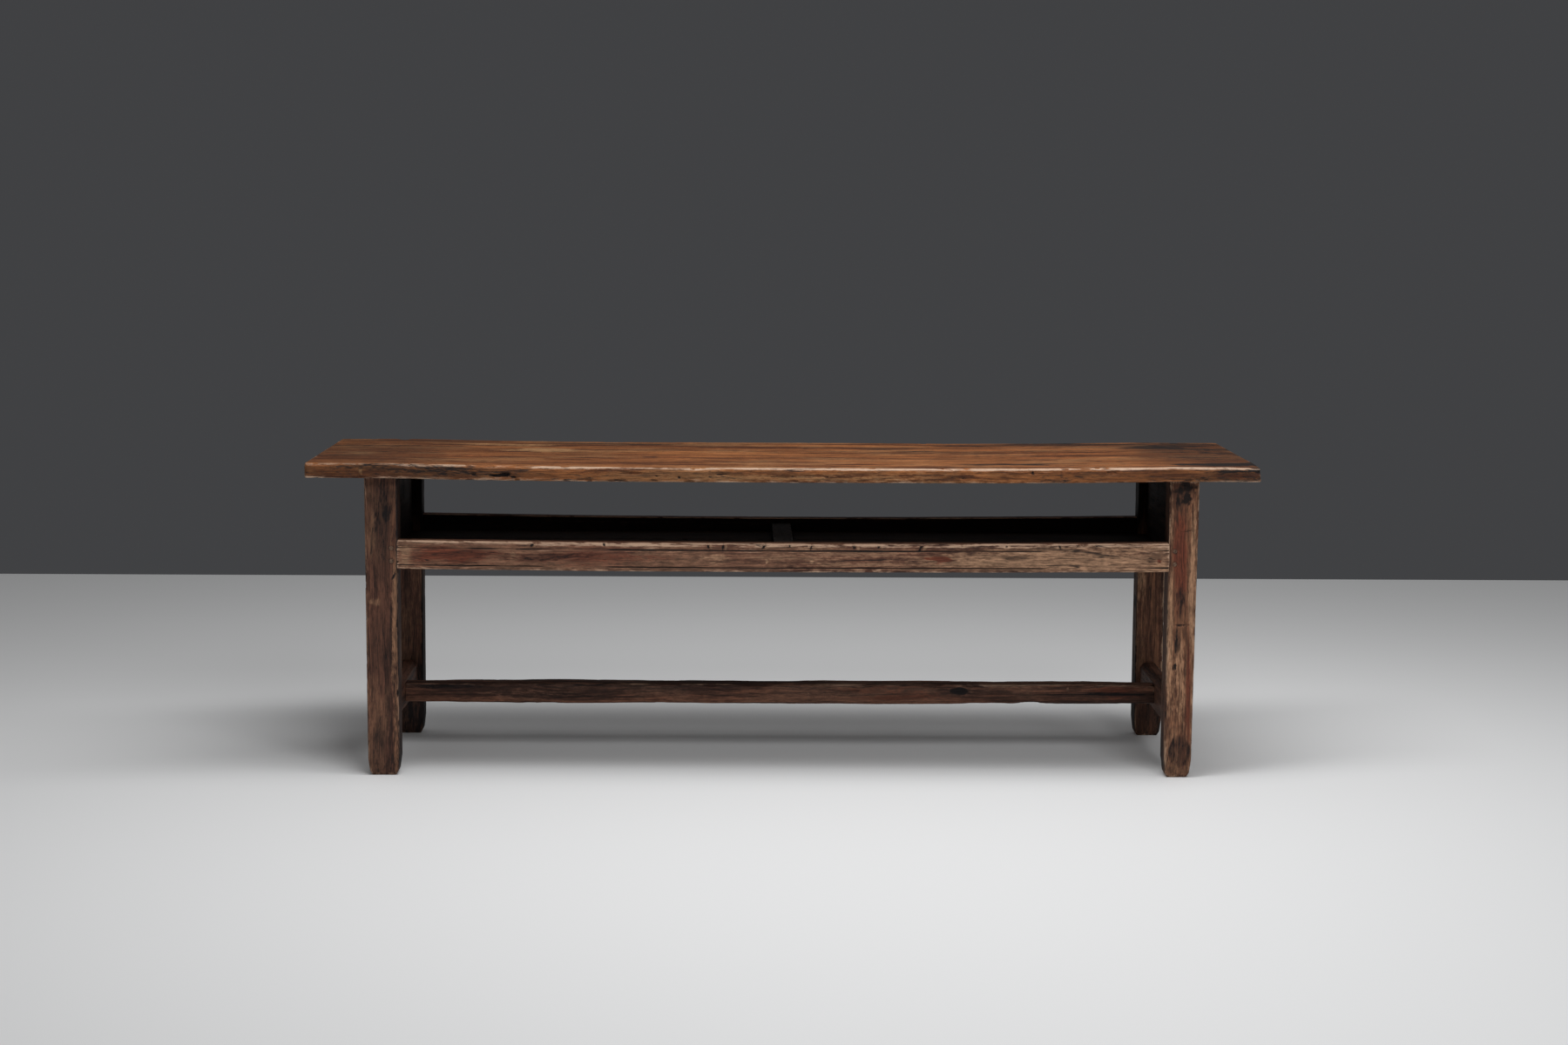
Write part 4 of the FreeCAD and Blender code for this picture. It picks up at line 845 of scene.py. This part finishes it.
def makeRail(row):
    low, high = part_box(f"{row}_rail")
    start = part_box("front_left_leg")[1].x - rails["into"]
    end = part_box("front_right_leg")[0].x + rails["into"]
    limits = railLimits(row)
    look, seed = rails["look"], rails["seed"][row]
    stations = stationsOf(start, end, rails["spacing"][row], rails["endRound"], rails["endRings"])
    steps = (railShares(high.z - low.z - rails["sag"][row]), rails["levelSteps"])
    radius = (rails["lowerRadius"], rails["upperRadius"], rails["upperRadius"], rails["lowerRadius"])
    points, outward, edge = timberGrid(0, stations, limits, radius, steps, look["arrisWander"], seed)
    place = np.broadcast_to(stations[0][:, None], edge.shape).ravel()
    lower, upper = (limit[:, 1].reshape(edge.shape) for limit in limits(place))
    quirk = upper - rails["quirkDrop"]
    facing = smoothRise(-outward[..., 1], *rails["facingRange"]) if row == "front" else 0 * edge
    # two scratched lines, and the bead's hollow sides above the upper one
    z = points[..., 2]
    bead = smoothRise(z - quirk, *rails["beadRange"])
    wobble = rails["quirkWobble"] * softNoise(points, rails["wobbleCycles"], seed + 3)
    fade = smoothRise(roughNoise(points, rails["fadeCycles"], seed + 5), *rails["fadeRange"])
    lines = (quirk, lower + rails["quirkRise"])
    groove = sum(fade * bell(z - line - wobble, rails["quirkWidth"]) for line in lines)
    crown = np.clip((z - quirk) / rails["quirkDrop"], 0, 1)
    hollow = rails["hollowDepth"] * np.clip(1 - np.sin(np.pi * crown), 0, 1) * (crown > 0) * facing
    points = points - outward * (rails["quirkDepth"] * groove * facing + hollow)[..., None]
    marks = frontRailMarks(limits) if row == "front" else []
    points, masks = ageTimber(points, outward, edge, 0, look, marks, seed)
    # rubbed bead, its crown rubbed and given a painted highlight, and a painted highlight on the lip below
    # the upper line
    z = points[..., 2]
    ridge = rails["ridgeBase"] + roughNoise(points, rails["ridgeCycles"], seed + 9)
    crest = bell(z - upper + rails["crownDrop"], rails["crownWidth"])
    handled = smoothRise(points[..., 0], *ageing["handledRange"])
    rubbingAndHighlight = rails["beadWorn"] * bead + rails["crownWornAndLit"] * crest
    rubbingAndHighlight *= rails["handledBase"] + (1 - rails["handledBase"]) * handled
    masks["worn"] = np.clip(masks["worn"] + rubbingAndHighlight * facing * ridge, 0, 1)
    masks["stain"] = np.clip(masks["stain"] + groove * facing, 0, 1)
    lip = bell(z - quirk + rails["lipDrop"], rails["lipWidth"])
    masks["worn"] = np.clip(masks["worn"] + rails["lipHighlight"] * lip * facing * ridge, 0, 1)
    if row == "rear":
        # painted shade on the side towards the shelf, which the top keeps in shadow
        shade = rails["shelfShade"] * smoothRise(-outward[..., 1], *rails["shelfRange"])
        masks["stain"] = np.clip(masks["stain"] + shade, 0, 1)
        masks["worn"] *= 1 - shade
    dress(meshFromGrids(f"{row}Rail", [(points, masks)]), [f"{row}_rail"], railWood)


for row in ("front", "rear"):
    makeRail(row)


# End panels, shelf and cross rail

innerLook = {**smoothLook, "waveDepth": 0.0008, "worn": 0.35, "fibreDepth": 0.0005}
barLook = {**smoothLook, "waveDepth": 0.0012, "worn": 0.50, "fibreDepth": 0.0006}
panel = dict(stations=(0.0045, 0.001, 5), steps=(50, 6), arris=0.0025, into=0.003, shelfShade=0.42, seed=200)
board = dict(stations=(0.006, 0.0015, 4), steps=(5, 44), arris=0.0018, notchGap=0.0004, seed=220, seedStep=13)
cleat = dict(stations=(0.005, 0.001, 4), steps=(4, 8), arris=0.002, seed=310)
crossRail = dict(stations=(0.004, 0.001, 5), into=0.002, steps=(20, 18), radius=0.003, seed=330,
                 ledgeHeight=0.015, ledgeSteps=(5, 24), ledgeArris=0.002, ledgeSeed=350)


def boxLimits(node):
    # the node's box across a timber that lies along Y
    low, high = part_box(node)
    return fixedLimits((low.x, low.z), (high.x, high.z))


def makePanel(side):
    node = f"{side}_end_panel"
    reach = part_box("rear_left_leg")[0].y + panel["into"]
    face = innerAndOuter(side, *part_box(node))[0]
    marks = [dict(at=(face, 0.050, 0.690), size=(0.006, 0.0025, 0.055), depth=0.0025, stain=0.9, ragged=0.6),
             dict(at=(face, -0.090, 0.640), size=(0.010, 0.060, 0.030), pale=0.5, ragged=0.8)]
    stations = stationsOf(-reach, reach, *panel["stations"])
    seed = panel["seed"] + (-1 if side == "left" else 1)
    points, masks = agedGrid(1, stations, boxLimits(node), panel["arris"], panel["steps"], innerLook,
                             marks, seed)
    # painted shade on the panel's inner side, under the top
    shadeSheltered(points, masks, face, panel["shelfShade"])
    dress(meshFromGrids(f"{side}EndPanel", [(points, masks)]), [node], panelWood)


def boardLimits(side, name):
    low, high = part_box(f"{side}_{name}_shelf_board")
    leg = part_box(f"front_{side}_leg")
    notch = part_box("rear_left_leg")[0].y - board["notchGap"]
    edge = leg[1].x + board["notchGap"] if side == "left" else leg[0].x - board["notchGap"]

    def limits(place):
        # past the leg's inner face the board is narrowed to pass between the legs
        past = place < edge if side == "left" else place > edge
        near = np.where(past & (name == "front"), -notch, low.y)
        far = np.where(past & (name == "rear"), notch, high.y)
        return np.stack([near, near * 0 + low.z], 1), np.stack([far, far * 0 + high.z], 1)
    return limits


def makeShelf():
    places = [(side, name) for side in ("left", "right") for name in ("front", "middle", "rear")]
    for number, (side, name) in enumerate(places):
        node = f"{side}_{name}_shelf_board"
        low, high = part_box(node)
        stations = stationsOf(low.x, high.x, *board["stations"])
        seed = board["seed"] + board["seedStep"] * number
        limits = boardLimits(side, name)
        grid = agedGrid(0, stations, limits, board["arris"], board["steps"], innerLook, (), seed)
        dress(meshFromGrids(f"{side}{name.title()}ShelfBoard", [grid]), [node], shadowedShelfWood)


def makeCleat(side):
    node = f"{side}_shelf_cleat"
    low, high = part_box(node)
    stations = stationsOf(low.y, high.y, *cleat["stations"])
    grid = agedGrid(1, stations, boxLimits(node), cleat["arris"], cleat["steps"], innerLook,
                    seed=cleat["seed"])
    dress(meshFromGrids(f"{side}ShelfCleat", [grid]), [node], shadowedGreyWood)


def makeCrossRail():
    # a bar between the two sides' boards, on a wider ledge that carries them
    low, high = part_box("centre_cross_rail")
    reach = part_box("rear_rail")[0].y + crossRail["into"]
    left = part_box("left_middle_shelf_board")[1].x
    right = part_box("right_middle_shelf_board")[0].x
    stations = stationsOf(-reach, reach, *crossRail["stations"])
    bar = agedGrid(1, stations, fixedLimits((left, low.z), (right, high.z)), crossRail["radius"],
                   crossRail["steps"], barLook, (), crossRail["seed"])
    ledgeLimits = fixedLimits((low.x, low.z), (high.x, low.z + crossRail["ledgeHeight"]))
    ledge = agedGrid(1, stations, ledgeLimits, crossRail["ledgeArris"], crossRail["ledgeSteps"], barLook, (),
                     crossRail["ledgeSeed"])
    dress(meshFromGrids("centreCrossRail", [bar, ledge]), ["centre_cross_rail"], shadowedGreyWood)


for side in ("left", "right"):
    makePanel(side)
    makeCleat(side)
makeShelf()
makeCrossRail()


# Low stretchers

endBar = dict(
    stations=(0.0035, 0.001, 5), steps=(26, 12), into=0.003, chamfer=0.012, round=0.0055, flat=0.9, seed=400,
    look={**smoothLook, "waveDepth": 0.0014, "worn": 0.62, "fibreDepth": 0.0006},
)
hewn = dict(
    stations=(0.0030, 0.001, 4), steps=(26, 22), into=0.002, chamfer=0.010, seed=450,
    height=0.058, depth=0.060,
    placeShares=(-1, -0.62, -0.28, 0.08, 0.45, 0.56, 0.8, 1),      # stations along the bar
    lowerShares=(0.05, 0.01, 0.03, 0, 0.02, 0.06, 0.03, 0.08),
    upperShares=(0.94, 1, 0.97, 0.98, 1, 0.97, 1, 0.95),
    frontShares=(0.93, 1, 0.96, 1, 0.97, 0.99, 0.95, 0.92),
    look={**smoothLook, "waveCycles": (11, 26), "waveDepth": 0.0020, "worn": 0.40, "fibreCycles": (10, 130),
          "fibreDepth": 0.0013, "chipDepth": 0.0050, "arrisWander": 0.6, "chipCycles": (16, 60)},
)
tenon = dict(
    width=0.022, height=0.034, overlap=0.006, arris=0.0015, seed=470,
    stations=(0.003, 0.0012, 6), steps=(9, 6),
    look={**endBar["look"], "waveDepth": 0.0003},
)


def makeEndStretcher(side):
    node = f"{side}_end_stretcher"
    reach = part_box("rear_left_leg")[0].y + endBar["into"]
    chamfer, edge, flat = endBar["chamfer"], endBar["round"], endBar["flat"]
    # corners go round from +X low, +X high, -X high to -X low; the inner ones are planed flat
    radius = (chamfer, chamfer, edge, edge) if side == "left" else (edge, edge, chamfer, chamfer)
    flats = (flat, flat, 0, 0) if side == "left" else (0, 0, flat, flat)
    outer = innerAndOuter(side, *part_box(node))[1]
    marks = [dict(at=(outer, 0, 0.159), size=(0.006, 0.0125, 0.0185), depth=0.0008, stain=0.7, sharp=5,
                  ragged=0.05)]
    stations = stationsOf(-reach, reach, *endBar["stations"])
    seed = endBar["seed"] + (side == "left")
    grid = agedGrid(1, stations, boxLimits(node), radius, endBar["steps"], endBar["look"], marks, seed,
                    flat=flats)
    dress(meshFromGrids(f"{side}EndStretcher", [grid]), [node], endStretcherWood)


def hewnLimits(place):
    # the section swells and shrinks between the stations that the axe left
    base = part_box("centre_stretcher")[0].z
    at = np.array(hewn["placeShares"]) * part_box("right_end_stretcher")[0].x
    lower = base + hewn["height"] * np.interp(place, at, hewn["lowerShares"])
    upper = base + hewn["height"] * np.interp(place, at, hewn["upperShares"])
    front = -hewn["depth"] / 2 * np.interp(place, at, hewn["frontShares"])
    rear = np.full(len(place), hewn["depth"] / 2)
    return np.stack([front, lower], 1), np.stack([rear, upper], 1)


def makeCentreStretcher():
    low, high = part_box("centre_stretcher")
    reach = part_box("right_end_stretcher")[0].x + hewn["into"]
    face = -0.030                                               # half the depth, where it isn't hewn away
    marks = [faceMark(*row) for row in (
        (0.46, face, 0.167, 0.027, 0.012, 0.011, 0.0015, 0.95, 0, 0, 0.2, 0, 2.5),
        (0.46, face, 0.167, 0.045, 0.014, 0.018, 0, 0, 0.5, 0, 0.4),
        (0.071, face, 0.159, 0.0025, 0.01, 0.016, 0.001, 0, 1, 0, 0.2),
        (0.738, face, 0.175, 0.0028, 0.01, 0.007, 0.0012, 0, 1, 0, 0.3),
        (0.64, -0.02, 0.132, 0.03, 0.03, 0.006, 0.004, 0, 0, 0, 0.4),
        (0.8, -0.025, 0.16, 0.2, 0.012, 0.006, 0.0025, 0.8, 0, 0, 0.6),
        (-0.82, -0.025, 0.176, 0.15, 0.014, 0.01, 0.003, 0.7, 0, 0, 0.5),
        (-0.2, -0.026, 0.186, 0.7, 0.012, 0.009, 0.001, 0.7, 0, 0, 0.3),
        (-0.64, face, 0.16, 0.14, 0.014, 0.02, 0, 0, 0.45, 0, 0.6),
        (0.86, -0.026, 0.165, 0.08, 0.014, 0.02, 0, 0, 0, 0.7, 0.6),
        (0.3, face, 0.165, 0.18, 0.014, 0.02, 0, 0, 0, 0.4, 0.8),
    )]
    stations = stationsOf(-reach, reach, *hewn["stations"])
    grids = [agedGrid(0, stations, hewnLimits, hewn["chamfer"], hewn["steps"], hewn["look"], marks,
                      hewn["seed"])]
    middle = low.z + hewn["height"] / 2
    halfY, halfZ = tenon["width"] / 2, tenon["height"] / 2
    limits = fixedLimits((-halfY, middle - halfZ), (halfY, middle + halfZ))
    for sign in (-1, 1):
        start, end = sorted((sign * (reach - tenon["overlap"]), high.x * sign))
        stations = stationsOf(start, end, *tenon["stations"])
        seed = tenon["seed"] + sign
        grids.append(agedGrid(0, stations, limits, tenon["arris"], tenon["steps"], tenon["look"], (), seed))
    dress(meshFromGrids("centreStretcher", grids), ["centre_stretcher"], stretcherWood)


for side in ("left", "right"):
    makeEndStretcher(side)
makeCentreStretcher()

# Pegs keep their solids and take a drier, paler wood
for name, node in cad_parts.items():
    if name.endswith("_pegs"):
        node.data.materials.clear()
        node.data.materials.append(pegWood)
print("pegs finished")


# Floor, backdrop, lamps and camera

stageLook = dict(floorColour=(0.74, 0.745, 0.75), floorRoughness=0.55, farEdge=3.25, reach=14.0,
                 backdrop=(0.052, 0.053, 0.056), ambient=0.22)
lamps = dict(
    overhead=dict(at=(0.35, -0.75, 3.3), aim=(0.1, -0.1, 0.4), size=(3.4, 0.8), power=94),
    front=dict(at=(1.4, -4.4, 3.6), aim=(0.1, 0, 0.5), size=(2.6, 1.6), power=98),
)
# angles in radians, lens and sensor in mm, the rest in metres
view = dict(place=(-0.11119, -7.07778, 1.45485), yaw=0.01653, pitch=0.12033, roll=0.00655,
            lens=64.006, sensor=36.0, clipEnd=100)


def addToScene(name, data):
    made = bpy.data.objects.new(name, data)
    bpy.context.scene.collection.objects.link(made)
    return made


def turnOf(right, up, back):
    return Matrix(np.stack([right, up, back], 1).tolist()).to_euler()


def makeFloor():
    mesh = bpy.data.meshes.new("floor")
    reach, far = stageLook["reach"], stageLook["farEdge"]
    corners = [(-reach, -reach, 0), (reach, -reach, 0), (reach, far, 0), (-reach, far, 0)]
    mesh.from_pydata(corners, [], [(0, 1, 2, 3)])
    floor = addToScene("floor", mesh)
    material = bpy.data.materials.new("paleFloor")
    material.use_nodes = True
    shader = material.node_tree.nodes["Principled BSDF"]
    shader.inputs["Base Color"].default_value = (*stageLook["floorColour"], 1)
    shader.inputs["Roughness"].default_value = stageLook["floorRoughness"]
    mesh.materials.append(material)


def makeWorld():
    # even light for the object, plain dark backdrop for the camera
    world = bpy.data.worlds.new("studio")
    bpy.context.scene.world = world
    world.use_nodes = True
    tree = world.node_tree
    even = tree.nodes["Background"]
    even.inputs["Color"].default_value = (1, 1, 1, 1)
    even.inputs["Strength"].default_value = stageLook["ambient"]
    seen = addNode(tree, "Background", {"Color": (*stageLook["backdrop"], 1), "Strength": 1.0})
    rays = addNode(tree, "LightPath").outputs
    mirrored = maths(tree, "MAXIMUM", rays["Is Glossy Ray"], rays["Is Transmission Ray"])
    direct = maths(tree, "MAXIMUM", rays["Is Camera Ray"], mirrored)
    choice = addNode(tree, "MixShader", {0: direct, 1: even.outputs[0], 2: seen.outputs[0]})
    tree.links.new(choice.outputs[0], tree.nodes["World Output"].inputs["Surface"])


def makeLamps():
    for name, lamp in lamps.items():
        data = bpy.data.lights.new(name, "AREA")
        data.shape = "RECTANGLE"
        data.size, data.size_y = lamp["size"]
        data.energy = lamp["power"]
        made = addToScene(name, data)
        made.location = lamp["at"]
        way = np.array(lamp["aim"], float) - np.array(lamp["at"], float)
        across = np.cross(way, (0, 0, 1))
        across /= np.linalg.norm(across)
        back = -way / np.linalg.norm(way)
        made.rotation_euler = turnOf(across, np.cross(back, across), back)


def makeCamera():
    # yaw turns towards +X, pitch looks down, roll lifts the right side
    yaw, pitch, roll = view["yaw"], view["pitch"], view["roll"]
    level = np.array([math.cos(yaw), -math.sin(yaw), 0])
    ahead = np.array([math.sin(yaw), math.cos(yaw), 0])
    forward = ahead * math.cos(pitch) - np.array([0, 0, math.sin(pitch)])
    upright = np.cross(level, forward)
    right = level * math.cos(roll) + upright * math.sin(roll)
    up = upright * math.cos(roll) - level * math.sin(roll)
    data = bpy.data.cameras.new("camera")
    data.lens, data.sensor_width, data.clip_end = view["lens"], view["sensor"], view["clipEnd"]
    camera = addToScene("camera", data)
    camera.rotation_euler = turnOf(right, up, -forward)
    camera.location = view["place"]
    bpy.context.scene.camera = camera


makeFloor()
makeWorld()
makeLamps()
makeCamera()
bpy.context.scene.view_settings.view_transform = "Standard"
print("stage set")
